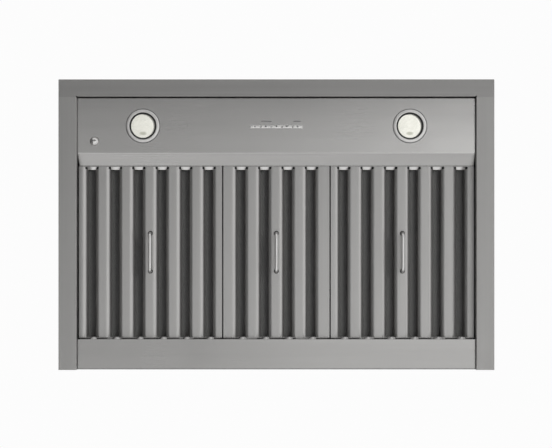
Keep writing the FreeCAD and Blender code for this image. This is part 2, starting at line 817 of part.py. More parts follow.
def lamp_housing(side, x):
    """Metal cup that stands on the lens rim inside the neck."""
    radius = f"({NECK_BORE} - stem_clearance)"
    inside = f"({radius} - lamp_housing_wall)"
    low = "(seal_height + lens_rim)"
    top = "(skin + bezel_neck_height + lamp_housing_height)"
    ceiling = f"({top} - lamp_housing_wall)"
    corners = [(inside, low), (radius, low), (radius, top), ("0", top), ("0", ceiling), (inside, ceiling)]
    sub_part(f"lamp_{side}_housing", place(revolution(corners), x, LAMP_LINE, PANEL_LEVEL))


def lamp_seals(places):
    """Dark rings between each lens and the neck of its bezel."""
    outer = f"{NECK_BORE} - stem_clearance"
    span = above(PANEL_LEVEL, "seal_height")
    seals = [tube("z", (x, LAMP_LINE, 0), span, outer, "lens_radius + stem_clearance") for x in places]
    sub_part("lamp_seals", group(*seals))


def lamp_boards(places):
    """Light-emitting discs under the roof of each lamp housing."""
    ceiling = f"({LAMP_TOP} - lamp_housing_wall)"
    radius = f"{NECK_BORE} - 2 * stem_clearance - lamp_housing_wall"
    span = (f"{ceiling} - lamp_board_thickness", ceiling)
    boards = [cylinder("z", (x, LAMP_LINE, 0), span, radius) for x in places]
    sub_part("lamp_boards", group(*boards))


def lamps():
    """Two lamps in the control panel."""
    places = {"left": f"-{LAMP_SPREAD}", "right": LAMP_SPREAD}
    for side, x in places.items():
        lamp_bezel(side, x)
        lamp_lens(side, x)
        lamp_housing(side, x)
    lamp_seals(places.values())
    lamp_boards(places.values())


# Keys and control box


def key_x(number):
    """Return where a key of the row stands across the hood."""
    return f"({number - (len(KEYS) - 1) / 2} * key_pitch)"


def window_plan(name):
    """Return the spans across and along the hood of one indicator window."""
    across = around(f"window_{name}_centre", f"window_{name}_length")
    return across, around(f"{KEY_LINE} - window_offset", "window_width")


def key(number, name):
    """Push key with a flange above the panel and a stem up to its switch."""
    x = key_x(number)
    flange_low = f"({PANEL_TOP} + key_rest_gap)"
    flange_top = f"({flange_low} + key_flange_thickness)"
    grow = "2 * (key_clearance + key_flange)"
    cap_z = (f"{PANEL_LEVEL} - key_stand", flange_low)
    cap = box(around(x, "key_length"), around(KEY_LINE, "key_width"), cap_z)
    flange_plan = (around(x, f"key_length + {grow}"), around(KEY_LINE, f"key_width + {grow}"))
    flange = box(*flange_plan, (flange_low, flange_top))
    stem_plan = (around(x, "key_stem_side"), around(KEY_LINE, "key_stem_side"))
    stem = box(*stem_plan, above(flange_top, "key_stem_length"))
    sub_part(name, fuse(cap, flange, stem))


def controls():
    """Keys, their switches and board, the indicator windows and the housing over them."""
    for number, name in enumerate(KEYS):
        key(number, name)
    switch_z = (f"{BOARD_LEVEL} - switch_height", BOARD_LEVEL)
    switch_y = around(KEY_LINE, "switch_side")
    switches = [box(around(key_x(number), "switch_side"), switch_y, switch_z) for number in range(len(KEYS))]
    sub_part("key_switches", group(*switches))
    board_plan = (around("0", "board_length"), around(KEY_LINE, "board_width"))
    sub_part("control_board", box(*board_plan, above(BOARD_LEVEL, "board_thickness")))
    window_z = (f"{PANEL_LEVEL} - window_stand", BOARD_LEVEL)
    windows = [box(*window_plan(name), window_z) for name in ("left", "right")]
    sub_part("indicator_windows", group(*windows))
    outside = box(
        around("0", "board_length + 2 * box_wall"),
        around(KEY_LINE, "board_width + 2 * box_wall"),
        (PANEL_TOP, CONTROL_TOP),
    )
    inside = box(*board_plan, (PANEL_TOP, f"{CONTROL_TOP} - box_wall"))
    sub_part("control_housing", cut(outside, inside))
    driver_end = f"({LAMP_SPREAD} - bezel_radius - driver_lamp_gap)"
    driver_plan = ((f"{driver_end} - driver_length", driver_end), around(LAMP_LINE, "driver_width"))
    sub_part("lamp_driver", box(*driver_plan, above(PANEL_TOP, "driver_height")))


# Heat sensor


def sensor_y():
    """Return how far from the wall the heat sensor stands."""
    return f"({PANEL_FRONT} + sensor_setback)"


def heat_sensor():
    """Domed probe under the panel, its stem through it and the nut above."""
    centre = (SENSOR_X, sensor_y(), PANEL_LEVEL)
    dome = doc.addObject("Part::Sphere", "dome")
    dome.Angle1 = -QUARTER_TURN
    dome.Angle2 = 0
    place(bind(dome, Radius="sensor_radius"), *centre)
    stem_top = f"{PANEL_TOP} + sensor_stem_length"
    stem = cylinder("z", centre, (PANEL_LEVEL, stem_top), "sensor_stem_radius")
    sub_part("heat_sensor", fuse(dome, stem))
    nut_block = doc.addObject("Part::Prism", "nut")
    nut_block.Polygon = NUT_SIDES
    bind(nut_block, Circumradius="sensor_nut_size", Height="sensor_nut_height")
    place(nut_block, centre[0], centre[1], PANEL_TOP)
    nut_bore = cylinder("z", centre, (PANEL_LEVEL, stem_top), "sensor_stem_radius + stem_clearance")
    sub_part("heat_sensor_nut", cut(nut_block, nut_bore))


# Blower


def blower_axis(shift_y="0", shift_z="0"):
    """Return a line along X through the blower, shifted from the impeller's axis."""
    return (0, f"{BLOWER_AXIS_Y} + {shift_y}", f"{BLOWER_AXIS_Z} + {shift_z}")


def blower_housing():
    """Scroll with a square outlet up to the deck and a round inlet on the left."""
    scroll = blower_axis("scroll_offset")
    outlet = "(outlet_side / 2)"
    outlet_inside = f"({outlet} - scroll_wall)"
    outlet_z = (BLOWER_AXIS_Z, CANOPY_TOP)
    outside = fuse(
        cylinder("x", scroll, both_sides("scroll_half_width"), "scroll_radius"),
        box(both_sides(outlet), around(BLOWER_AXIS_Y, "outlet_side"), outlet_z),
    )
    inside = fuse(
        cylinder("x", scroll, both_sides("scroll_half_width - scroll_wall"), "scroll_radius - scroll_wall"),
        box(both_sides(outlet_inside), around(BLOWER_AXIS_Y, f"2 * {outlet_inside}"), outlet_z),
    )
    inlet_x = ("-scroll_half_width - scroll_wall", "0")
    inlet = cylinder("x", blower_axis(), inlet_x, "inlet_radius")
    sub_part("blower_housing", cut(outside, inside, inlet))


def inlet_ring():
    """Flanged ring that lines the blower's inlet."""
    outer = "(inlet_radius - stem_clearance)"
    bore = "(inlet_radius - inlet_ring_wall)"
    flange = "(inlet_radius + inlet_ring_flange)"
    corners = [
        (bore, "-scroll_wall"),
        (flange, "-scroll_wall"),
        (flange, "0"),
        (outer, "0"),
        (outer, "inlet_ring_length"),
        (bore, "inlet_ring_length"),
    ]
    ring = turn(revolution(corners), "x")
    sub_part("inlet_ring", place(ring, "-scroll_half_width", BLOWER_AXIS_Y, BLOWER_AXIS_Z))


def motor_front():
    """Return where the front of the motor body lies along X."""
    return "(impeller_plate / 2 + motor_front_gap)"


def blower_motor():
    """Motor on the right end plate, reaching into the impeller."""
    nose_start = f"({motor_front()} - motor_nose_length)"
    can = cylinder("x", blower_axis(), (motor_front(), "scroll_half_width - scroll_wall"), "motor_radius")
    nose = cylinder("x", blower_axis(), (nose_start, motor_front()), "motor_nose_radius")
    bore_x = (nose_start, f"{motor_front()} + shaft_grip + running_gap")
    bore = cylinder("x", blower_axis(), bore_x, "shaft_radius + running_gap")
    sub_part("blower_motor", cut(fuse(can, nose), bore))
    plate_x = above("scroll_half_width", "motor_plate_thickness")
    sub_part("motor_plate", cylinder("x", blower_axis(), plate_x, "motor_plate_radius"))
    capacitor_line = blower_axis("capacitor_shift", "(-capacitor_drop)")
    capacitor_x = above("scroll_half_width", "capacitor_length")
    sub_part("capacitor", cylinder("x", capacitor_line, capacitor_x, "capacitor_radius"))


def motor_shaft():
    """Shaft that carries the impeller's hub and runs in the motor."""
    span = ("-impeller_plate / 2 - hub_length", f"{motor_front()} + shaft_grip")
    sub_part("motor_shaft", cylinder("x", blower_axis(), span, "shaft_radius"))


def impeller():
    """Squirrel-cage wheel: a hub plate, a ring of blades and a rim at each end."""
    bore = "(shaft_radius + running_gap)"
    plate = "(impeller_plate / 2)"
    inner = "(impeller_radius - blade_depth)"
    blade_middle = "(impeller_radius - blade_depth / 2)"
    wheel = revolution([
        (bore, f"-{plate} - hub_length"),
        ("hub_radius", f"-{plate} - hub_length"),
        ("hub_radius", f"-{plate}"),
        (blade_middle, f"-{plate}"),
        (blade_middle, plate),
        (bore, plate),
    ])
    blade_sketch = new_sketch(wheel, "XY_Plane")
    blade_half = "(blade_thickness / 2)"
    add_outline(blade_sketch, [
        (f"{inner} + blade_inset", f"-{blade_half}"),
        ("impeller_radius - blade_inset", f"-{blade_half}"),
        ("impeller_radius - blade_inset", blade_half),
        (f"{inner} + blade_inset", blade_half),
    ])
    blade_sketch.setExpression("AttachmentOffset.Base.z", formula("-impeller_half_width"))
    blade = wheel.newObject("PartDesign::Pad", "blade")
    blade.Profile = blade_sketch
    bind(blade, Length="2 * impeller_half_width")
    doc.recompute()
    blades = wheel.newObject("PartDesign::PolarPattern", "blades")
    blades.Originals = [blade]
    blades.Axis = (own_plane(wheel, "Z_Axis"), [""])
    blades.Angle = FULL_TURN
    bind(blades, Occurrences="blade_count")
    wheel.Tip = blades
    doc.recompute()
    for low in ("-impeller_half_width", "impeller_half_width - impeller_ring"):
        rim_sketch = new_sketch(wheel, "XZ_Plane")
        top = f"{low} + impeller_ring"
        outer = "impeller_radius"
        add_outline(rim_sketch, [(inner, low), (outer, low), (outer, top), (inner, top)])
        rim = wheel.newObject("PartDesign::Revolution", "rim")
        rim.Profile = rim_sketch
        rim.ReferenceAxis = (rim_sketch, ["V_Axis"])
        rim.Angle = FULL_TURN
        doc.recompute()
    sub_part("impeller", place(turn(wheel, "x"), 0, BLOWER_AXIS_Y, BLOWER_AXIS_Z))


# Duct collar and damper


def duct_collar():
    """Flanged spigot for a round duct, with holes for the damper rod."""
    bore = "(collar_radius - collar_wall)"
    flange = "(collar_radius + collar_flange)"
    corners = [
        (bore, "0"),
        (flange, "0"),
        (flange, "skin"),
        ("collar_radius", "skin"),
        ("collar_radius", "collar_height"),
        (bore, "collar_height"),
    ]
    spigot = place(revolution(corners), 0, BLOWER_AXIS_Y, DECK_TOP)
    rod_line = (0, BLOWER_AXIS_Y, DAMPER_LEVEL)
    rod_hole = cylinder("x", rod_line, both_sides("collar_radius + skin"), "damper_rod_radius + running_gap")
    sub_part("duct_collar", cut(spigot, rod_hole))
    sub_part("damper_rod", cylinder("x", rod_line, both_sides("collar_radius"), "damper_rod_radius"))


def damper_flap(name, forward):
    """Half-round flap that lifts about the rod, held by two knuckles."""
    radius = "(collar_radius - collar_wall - damper_wall_gap)"
    bore = "(damper_rod_radius + running_gap)"
    barrel = f"({bore} + knuckle_wall)"
    half_sheet = "(flap_thickness / 2)"
    level = (f"{DAMPER_LEVEL} - {half_sheet}", f"{DAMPER_LEVEL} + {half_sheet}")
    rod_line = (0, BLOWER_AXIS_Y, DAMPER_LEVEL)

    def beside(near, far):
        """Return the span between two distances from the rod on this flap's side."""
        if forward:
            return (f"{BLOWER_AXIS_Y} - ({far})", f"{BLOWER_AXIS_Y} - ({near})")
        return (f"{BLOWER_AXIS_Y} + ({near})", f"{BLOWER_AXIS_Y} + ({far})")

    disc = cylinder("z", rod_line, level, radius)
    half_disc = doc.addObject("Part::Common", "half_disc")
    half_disc.Base = disc
    half_disc.Tool = box(both_sides(radius), beside("flap_start", radius), level)
    near = above("knuckle_near", "knuckle_length")
    far = above("knuckle_far", "knuckle_length")
    mirrored = [tuple(f"-({end})" for end in reversed(span)) for span in (near, far)]
    spans = (near, mirrored[1]) if forward else (mirrored[0], far)
    pieces = [half_disc]
    for span in spans:
        pieces.append(cylinder("x", rod_line, span, barrel))
        pieces.append(box(span, beside(bore, "flap_start + knuckle_wall"), level))
    rod_space = cylinder("x", rod_line, both_sides("collar_radius"), bore)
    sub_part(name, cut(fuse(*pieces), rod_space))


# Junction box and wiring


def gland_x():
    """Return where the cable comes in, across the hood."""
    return "(junction_start + junction_length / 2)"


def gland_z():
    """Return the height at which the cable comes in."""
    return f"({JUNCTION_LEVEL} + gland_rise)"


def junction_box():
    """Wiring box on the back panel, its cover, terminal block and cable gland."""
    x = above("junction_start", "junction_length")
    y = ("-skin - junction_depth", "-skin")
    z = above(JUNCTION_LEVEL, "junction_height")
    inside = box(
        (f"{x[0]} + box_wall", f"{x[1]} - box_wall"),
        (y[0], f"{y[1]} - box_wall"),
        (f"{z[0]} + box_wall", f"{z[1]} - box_wall"),
    )
    gland_line = (gland_x(), 0, gland_z())
    gland_outside = "(gland_bore + gland_wall)"
    gland_hole = cylinder("y", gland_line, y, gland_outside)
    sub_part("junction_box", cut(box(x, y, z), inside, gland_hole))
    sub_part("junction_cover", box(x, (JUNCTION_FRONT, y[0]), z))
    block_y = (f"{y[1]} - box_wall - terminal_depth", f"{y[1]} - box_wall")
    block_z = above(f"{z[0]} + box_wall", "terminal_height")
    sub_part("terminal_block", box(around(gland_x(), "terminal_length"), block_y, block_z))
    seat = f"({y[1]} - box_wall)"
    neck = cylinder("y", gland_line, ("-gland_length", "0"), gland_outside)
    collar_y = (f"{seat} - gland_flange_length", seat)
    collar = cylinder("y", gland_line, collar_y, f"{gland_outside} + gland_flange")
    cable_bore = cylinder("y", gland_line, ("-gland_length", "0"), "gland_bore")
    sub_part("cable_gland", cut(fuse(neck, collar), cable_bore))


def wire(corners):
    """Sweep a round wire along straight runs joined by tangent arcs."""
    points = [FreeCAD.Vector(*(value(text) for text in corner)) for corner in corners]
    bend = value("wire_bend")
    radius = value("wire_radius")
    edges = []
    start = points[0]
    for before, corner, after in zip(points, points[1:], points[2:]):
        arriving = (corner - before).normalize()
        leaving = (after - corner).normalize()
        half_turn = arriving.getAngle(leaving) / 2
        reach = bend * math.tan(half_turn)
        inward = (leaving - arriving).normalize()
        first = corner - arriving * reach
        last = corner + leaving * reach
        middle = corner + inward * (bend / math.cos(half_turn) - bend)
        edges.append(Part.LineSegment(start, first).toShape())
        edges.append(Part.Arc(first, middle, last).toShape())
        start = last
    edges.append(Part.LineSegment(start, points[-1]).toShape())
    path = Part.Wire(edges)
    section = Part.Wire(Part.makeCircle(radius, points[0], points[1] - points[0]))
    solid = path.makePipeShell([section], True, False)
    expected = math.pi * radius ** 2 * path.Length
    if abs(solid.Volume / expected - 1) > VOLUME_TOLERANCE:
        raise RuntimeError("a wire of the harness has the wrong volume")
    return solid


def wiring_harness():
    """Wires from the junction box to the motor and the controls, and on to lamps and sensor."""
    high = f"({JUNCTION_LEVEL} + wire_entry_rise)"
    low = f"({LAMP_TOP} + wire_lamp_rise)"
    feed_z = f"({JUNCTION_LEVEL} + junction_height / 2)"
    control_end = "(board_length / 2 - wire_bend)"
    sensor_end = "(board_length / 2 - 2 * wire_bend)"
    sensor_top = f"({PANEL_TOP} + sensor_stem_length)"
    motor_x = "(scroll_half_width + motor_plate_thickness)"
    feed = [
        (gland_x(), JUNCTION_FRONT, high),
        (gland_x(), KEY_LINE, high),
        ("0", KEY_LINE, high),
        ("0", KEY_LINE, CONTROL_TOP),
    ]
    motor = [
        ("junction_start", "-skin - junction_depth / 2", feed_z),
        (f"({motor_x} + junction_start) / 2", "-skin - junction_depth / 2", feed_z),
        (f"({motor_x} + junction_start) / 2", BLOWER_AXIS_Y, BLOWER_AXIS_Z),
        (motor_x, BLOWER_AXIS_Y, BLOWER_AXIS_Z),
    ]
    lamp_leads = [
        [
            (f"{sign}{control_end}", LAMP_LINE, CONTROL_TOP),
            (f"{sign}{control_end}", LAMP_LINE, low),
            (f"{sign}{LAMP_SPREAD}", LAMP_LINE, low),
            (f"{sign}{LAMP_SPREAD}", LAMP_LINE, LAMP_TOP),
        ]
        for sign in ("-", "")
    ]
    sensor = [
        (f"-{sensor_end}", f"{KEY_LINE} + board_width / 4", CONTROL_TOP),
        (f"-{sensor_end}", f"{KEY_LINE} + board_width / 4", high),
        (SENSOR_X, sensor_y(), high),
        (SENSOR_X, sensor_y(), sensor_top),
    ]
    harness = doc.addObject("Part::Feature", "wiring")
    harness.Shape = Part.makeCompound([wire(route) for route in (feed, motor, *lamp_leads, sensor)])
    harness.Placement = FreeCAD.Placement()
    sub_part("wiring_harness", harness)


def build():
    """Make every sub-part of the hood."""
    canopy_shell()
    canopy_back_panel()
    control_panel()
    panel_brackets()
    rear_rail()
    top_deck()
    lower_chimney()
    upper_chimney()
    chimney_top_bracket()
    chimney_screws()
    filters()
    lamps()
    controls()
    heat_sensor()
    blower_housing()
    inlet_ring()
    blower_motor()
    motor_shaft()
    impeller()
    duct_collar()
    damper_flap("damper_flap_front", True)
    damper_flap("damper_flap_rear", False)
    junction_box()
    wiring_harness()


def check():
    """Stop if any object failed or any sub-part has no sound shape."""
    failed = [item.Label for item in doc.Objects if {"Invalid", "Error"} & set(item.State)]
    for item in sub_parts:
        if item.Shape.isNull() or not item.Shape.isValid() or not item.Shape.Solids:
            failed.append(item.Label)
    if failed:
        raise RuntimeError("not built: " + ", ".join(failed))


def export():
    """Write each sub-part to its own file."""
    os.makedirs("parts", exist_ok=True)
    for item in sub_parts:
        item.Shape.exportStep(f"parts/{item.Label}.step")
        print(item.Label, len(item.Shape.Solids), round(item.Shape.Volume))


build()
doc.recompute()
check()
export()
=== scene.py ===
"""Dressed chimney range hood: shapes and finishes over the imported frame.

Everything is in metres. X runs along the wall, the hood hangs on the -Y side of it, and Z is up.
"""
import math

import bmesh
import bpy
from mathutils import Matrix, Vector


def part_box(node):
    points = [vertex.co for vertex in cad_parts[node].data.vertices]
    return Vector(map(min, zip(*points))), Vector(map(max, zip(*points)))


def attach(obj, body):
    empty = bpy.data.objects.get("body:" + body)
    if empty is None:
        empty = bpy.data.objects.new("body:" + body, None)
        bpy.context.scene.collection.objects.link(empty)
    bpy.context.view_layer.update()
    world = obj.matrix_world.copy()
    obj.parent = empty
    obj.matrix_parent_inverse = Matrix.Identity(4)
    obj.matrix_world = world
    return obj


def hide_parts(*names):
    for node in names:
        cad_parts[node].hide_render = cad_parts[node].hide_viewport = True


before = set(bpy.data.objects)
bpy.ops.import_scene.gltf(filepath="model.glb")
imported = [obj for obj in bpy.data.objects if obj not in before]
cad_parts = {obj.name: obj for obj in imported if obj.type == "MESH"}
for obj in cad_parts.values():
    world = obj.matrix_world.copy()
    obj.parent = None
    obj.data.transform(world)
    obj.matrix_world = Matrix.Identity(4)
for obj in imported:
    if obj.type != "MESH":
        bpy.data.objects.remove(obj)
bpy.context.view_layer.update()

# Sheet thickness, distance at which points merge, angles between faces, and steps in a rounded fold
SHEET = 0.0012
MERGE = 1e-6
SHARP = math.radians(32)
FOLD = math.radians(14)
FLAT = math.radians(1)
FOLD_STEPS = 4


# Node trees

# Sockets of a Mix node that mixes colours
MIX_SHARE = 0
MIX_FIRST = 6
MIX_SECOND = 7
MIX_RESULT = 2


class Link:
    """One output of a node tree, which can be used in sums."""

    def __init__(self, tree, socket):
        self.tree = tree
        self.socket = socket

    def __add__(self, other):
        return self.tree.maths("ADD", self, other)

    def __sub__(self, other):
        return self.tree.maths("SUBTRACT", self, other)

    def __mul__(self, other):
        return self.tree.maths("MULTIPLY", self, other)


class Tree:
    """A node tree to which nodes are added one at a time."""

    def __init__(self, nodes):
        self.nodes = nodes

    def feed(self, socket, given):
        """Link a socket to another node, or set its value."""
        if isinstance(given, Link):
            self.nodes.links.new(given.socket, socket)
        else:
            socket.default_value = given

    def node(self, kind, settings=None, inputs=None, output=0):
        """Add a node, set it up, feed it, and return one of its outputs."""
        item = self.nodes.nodes.new(kind)
        for name, setting in (settings or {}).items():
            setattr(item, name, setting)
        for name, given in (inputs or {}).items():
            self.feed(item.inputs[name], given)
        return Link(self, item.outputs[output])

    def maths(self, operation, *given):
        """Add a Math node."""
        return self.node("ShaderNodeMath", {"operation": operation}, dict(enumerate(given)))

    def largest(self, *given):
        """Return the largest of several values."""
        most = given[0]
        for other in given[1:]:
            most = self.maths("MAXIMUM", most, other)
        return most

    def blend(self, share, first, second):
        """Mix two colours."""
        inputs = {MIX_SHARE: share, MIX_FIRST: first, MIX_SECOND: second}
        return self.node("ShaderNodeMix", {"data_type": "RGBA"}, inputs, MIX_RESULT)

    def span(self, given, low, high, start=0.0, end=1.0):
        """Map a value from one range to another and hold it there."""
        inputs = {"Value": given, "From Min": low, "From Max": high, "To Min": start, "To Max": end}
        return self.node("ShaderNodeMapRange", {"clamp": True}, inputs)


class Finish(Tree):
    """A material with one main shader, read in object coordinates."""

    def __init__(self, name, **constants):
        self.material = bpy.data.materials.new(name)
        self.material.use_nodes = True
        super().__init__(self.material.node_tree)
        self.shader = self.nodes.nodes["Principled BSDF"]
        self.place = self.node("ShaderNodeTexCoord", output="Object")
        for socket, given in constants.items():
            self.set(socket.replace("_", " ").title().replace("Ior", "IOR"), given)

    def set(self, socket, given):
        """Feed one socket of the main shader."""
        self.feed(self.shader.inputs[socket], given)

    def stretched(self, stretch):
        """Return the place on the surface, scaled along X, Y and Z."""
        inputs = {"Vector": self.place, "Scale": stretch}
        return self.node("ShaderNodeMapping", {"vector_type": "POINT"}, inputs)

    def noise(self, stretch, detail=2.0, roughness=0.5):
        """Return smooth noise whose repeats per metre along X, Y and Z are given."""
        inputs = {"Vector": self.stretched(stretch), "Scale": 1.0, "Detail": detail, "Roughness": roughness}
        return self.node("ShaderNodeTexNoise", None, inputs)

    def cells(self, repeats, feature="F1", stretch=(1, 1, 1)):
        """Return the distance pattern of scattered cells."""
        inputs = {"Vector": self.stretched(stretch), "Scale": repeats}
        return self.node("ShaderNodeTexVoronoi", {"feature": feature}, inputs)

    def axis(self, number):
        """Return one coordinate of the place on the surface."""
        return self.node("ShaderNodeSeparateXYZ", None, {0: self.place}, number)

    def relief(self, height, strength, distance):
        """Raise the surface by a pattern."""
        inputs = {"Height": height, "Strength": strength, "Distance": distance}
        self.set("Normal", self.node("ShaderNodeBump", None, inputs))


# Finishes

LAMPS = {"left": -0.281, "right": 0.281}
LAMP_Y = -0.5125
# Repeats per metre along X, Y and Z of the fine and broad lines of sheets brushed along one axis
GRAIN_LINES = {"x": (5, 900, 900), "y": (900, 5, 900), "z": (900, 900, 5)}
BROAD_LINES = {"x": (1.5, 60, 60), "y": (60, 1.5, 60), "z": (60, 60, 1.5)}
LINE_SHARE = 0.35
BROAD_SHARE = 0.35
SMUDGE_SHARE = 0.3
LINE_DULLNESS = 0.10
SMUDGE_DULLNESS = 0.07
STEEL_CONTRAST = 0.07
METAL_WARMTH = 0.012
BLUE_LOSS = 1.6
# The range in which most of a noise pattern lies
MOST = (0.3, 0.7)


def shade(level, warmth=0.0):
    """Return a grey, slightly warm if asked."""
    return (level * (1 + warmth), level, level * (1 - BLUE_LOSS * warmth), 1.0)


def darkened(colour, share):
    """Return a share of a colour."""
    return tuple(channel * share for channel in colour[:3]) + (1.0,)


def even(repeats):
    """Return the same number of repeats along X, Y and Z."""
    return (repeats, repeats, repeats)


def brushed_steel(name, level, grain, roughness=0.34, metallic=1.0):
    """Brushed stainless sheet with fine lines along one axis, faint smudges and soft tone changes."""
    finish = Finish(name, metallic=metallic)
    lines = finish.noise(GRAIN_LINES[grain], detail=3.0, roughness=0.6)
    broad = finish.noise(BROAD_LINES[grain])
    smudge = finish.noise(even(7), detail=3.0)
    tone = lines * LINE_SHARE + broad * BROAD_SHARE + smudge * SMUDGE_SHARE
    darker = shade(level * (1 - STEEL_CONTRAST), METAL_WARMTH)
    lighter = shade(level * (1 + STEEL_CONTRAST), METAL_WARMTH)
    finish.set("Base Color", finish.blend(finish.span(tone, *MOST), darker, lighter))
    dullness = finish.span(smudge, low=0.35, high=0.75, end=SMUDGE_DULLNESS)
    finish.set("Roughness", lines * LINE_DULLNESS + dullness + (roughness - SMUDGE_DULLNESS))
    finish.relief(lines, strength=0.035, distance=0.0004)
    return finish.material


def polished_steel(name, level, roughness):
    """Smooth bright steel with light wipe marks."""
    finish = Finish(name, metallic=1.0)
    wipes = finish.noise(even(60), detail=3.0)
    darker = shade(level * 0.93, warmth=0.01)
    finish.set("Base Color", finish.blend(wipes, darker, shade(level, warmth=0.01)))
    finish.set("Roughness", finish.span(wipes, *MOST, start=roughness, end=roughness + 0.08))
    finish.relief(wipes, strength=0.015, distance=0.0003)
    return finish.material


def satin_aluminium(name, level):
    """Turned aluminium with a soft bright bloom."""
    finish = Finish(name, metallic=0.55)
    bloom = finish.noise(even(150), detail=3.0)
    darker = shade(level * 0.92, METAL_WARMTH)
    lighter = shade(level * 1.06, METAL_WARMTH)
    finish.set("Base Color", finish.blend(bloom, darker, lighter))
    finish.set("Roughness", finish.span(bloom, *MOST, start=0.30, end=0.42))
    finish.relief(bloom, strength=0.05, distance=0.0003)
    return finish.material


def galvanised_sheet(name, level):
    """Zinc-coated sheet with spangles of differing grey."""
    finish = Finish(name, metallic=0.9)
    spangle = finish.cells(110.0)
    cloud = finish.noise(even(16), detail=3.0)
    tone = finish.span(spangle * 0.6 + cloud * 0.5, low=0.2, high=0.8)
    finish.set("Base Color", finish.blend(tone, shade(level * 0.75), shade(level)))
    finish.set("Roughness", finish.span(cloud, *MOST, start=0.38, end=0.56))
    finish.relief(spangle, strength=0.05, distance=0.0004)
    return finish.material


def moulded_plastic(name, colour, roughness=0.42):
    """Plastic with a fine moulded grain and slight gloss changes."""
    finish = Finish(name)
    grain = finish.noise(even(1300))
    cloud = finish.noise(even(30))
    finish.set("Base Color", finish.blend(finish.span(cloud, *MOST), darkened(colour, 0.86), colour))
    finish.set("Roughness", finish.span(cloud, *MOST, start=roughness, end=roughness + 0.12))
    finish.relief(grain, strength=0.12, distance=0.0002)
    return finish.material


def rubber_and_painted_shade(name, level):
    """Dark rubber with a dusty bloom, also used for painted shade and painted shadow on lamps and pulls."""
    finish = Finish(name)
    bloom = finish.noise(even(90), detail=4.0, roughness=0.6)
    dust = finish.span(bloom, low=0.35, high=0.75)
    finish.set("Base Color", finish.blend(dust, shade(level), shade(level * 2.2)))
    finish.set("Roughness", finish.span(bloom, *MOST, start=0.6, end=0.8))
    finish.relief(bloom, strength=0.15, distance=0.0003)
    return finish.material


def enamel(name, colour):
    """Baked motor enamel with orange-peel ripple."""
    finish = Finish(name, coat_weight=0.3, coat_roughness=0.2)
    ripple = finish.noise(even(420))
    cloud = finish.noise(even(20))
    finish.set("Base Color", finish.blend(cloud, darkened(colour, 0.8), colour))
    finish.set("Roughness", finish.span(cloud, *MOST, start=0.35, end=0.5))
    finish.relief(ripple, strength=0.1, distance=0.0004)
    return finish.material


# Half width, half depth and distance behind the lamp's centre of the patch of painted shade on a lens
SHADE_PATCH_REACH = 0.009
SHADE_PATCH_DEPTH = 0.0045
SHADE_PATCH_BACK = 0.0155
SHADE_PATCH_SHARE = 0.75
SHADE_PATCH_COLOUR = (0.42, 0.42, 0.34, 1.0)
LENS_DEEP = (0.74, 0.735, 0.66, 1.0)
LENS_PALE = (0.88, 0.875, 0.80, 1.0)


def frosted_lens(name):
    """Cream lens with small pressed facets and a greyer patch of painted shade near its rear, lit faintly
    from inside.
    """
    finish = Finish(name, ior=1.49, emission_strength=0.08)
    facets = finish.cells(420.0)
    cloud = finish.noise(even(60))
    tone = finish.span(facets * 0.5 + cloud * 0.5, low=0.2, high=0.7)
    across = (finish.maths("ABSOLUTE", finish.axis(0)) - LAMPS["right"]) * (1 / SHADE_PATCH_REACH)
    along = (finish.axis(1) - (LAMP_Y + SHADE_PATCH_BACK)) * (1 / SHADE_PATCH_DEPTH)
    # A darker grey ellipse near the lens's rear is painted shade
    painted_shade = finish.span(across * across + along * along, low=0.2, high=1.0, start=SHADE_PATCH_SHARE, end=0.0)
    colour = finish.blend(painted_shade, finish.blend(tone, LENS_DEEP, LENS_PALE), SHADE_PATCH_COLOUR)
    finish.set("Base Color", colour)
    finish.set("Emission Color", colour)
    finish.set("Roughness", finish.span(cloud, *MOST, start=0.22, end=0.34))
    finish.relief(facets, strength=0.25, distance=0.0006)
    return finish.material


def filter_wire(name, level):
    """Dull aluminium wire with a thin film of soil."""
    finish = Finish(name, metallic=0.25)
    film = finish.noise(even(180), detail=3.0)
    soiled = shade(level * 0.7, warmth=0.02)
    clean = shade(level * 1.3, warmth=0.01)
    finish.set("Base Color", finish.blend(film, soiled, clean))
    finish.set("Roughness", finish.span(film, *MOST, start=0.4, end=0.6))
    finish.relief(film, strength=0.1, distance=0.0003)
    return finish.material


BOARD_GREEN = (0.015, 0.10, 0.05, 1)
TRACK_GREEN = (0.06, 0.22, 0.10, 1)


def circuit_board(name):
    """Green board with paler tracks."""
    finish = Finish(name)
    tracks = finish.cells(160.0, "DISTANCE_TO_EDGE", (1, 0.4, 1))
    track_share = finish.span(tracks, low=0.05, high=0.09, start=1.0, end=0.0)
    finish.set("Base Color", finish.blend(track_share, BOARD_GREEN, TRACK_GREEN))
    finish.set("Roughness", finish.span(tracks, low=0.0, high=0.3, start=0.3, end=0.5))
    finish.relief(track_share, strength=0.2, distance=0.0002)
    return finish.material


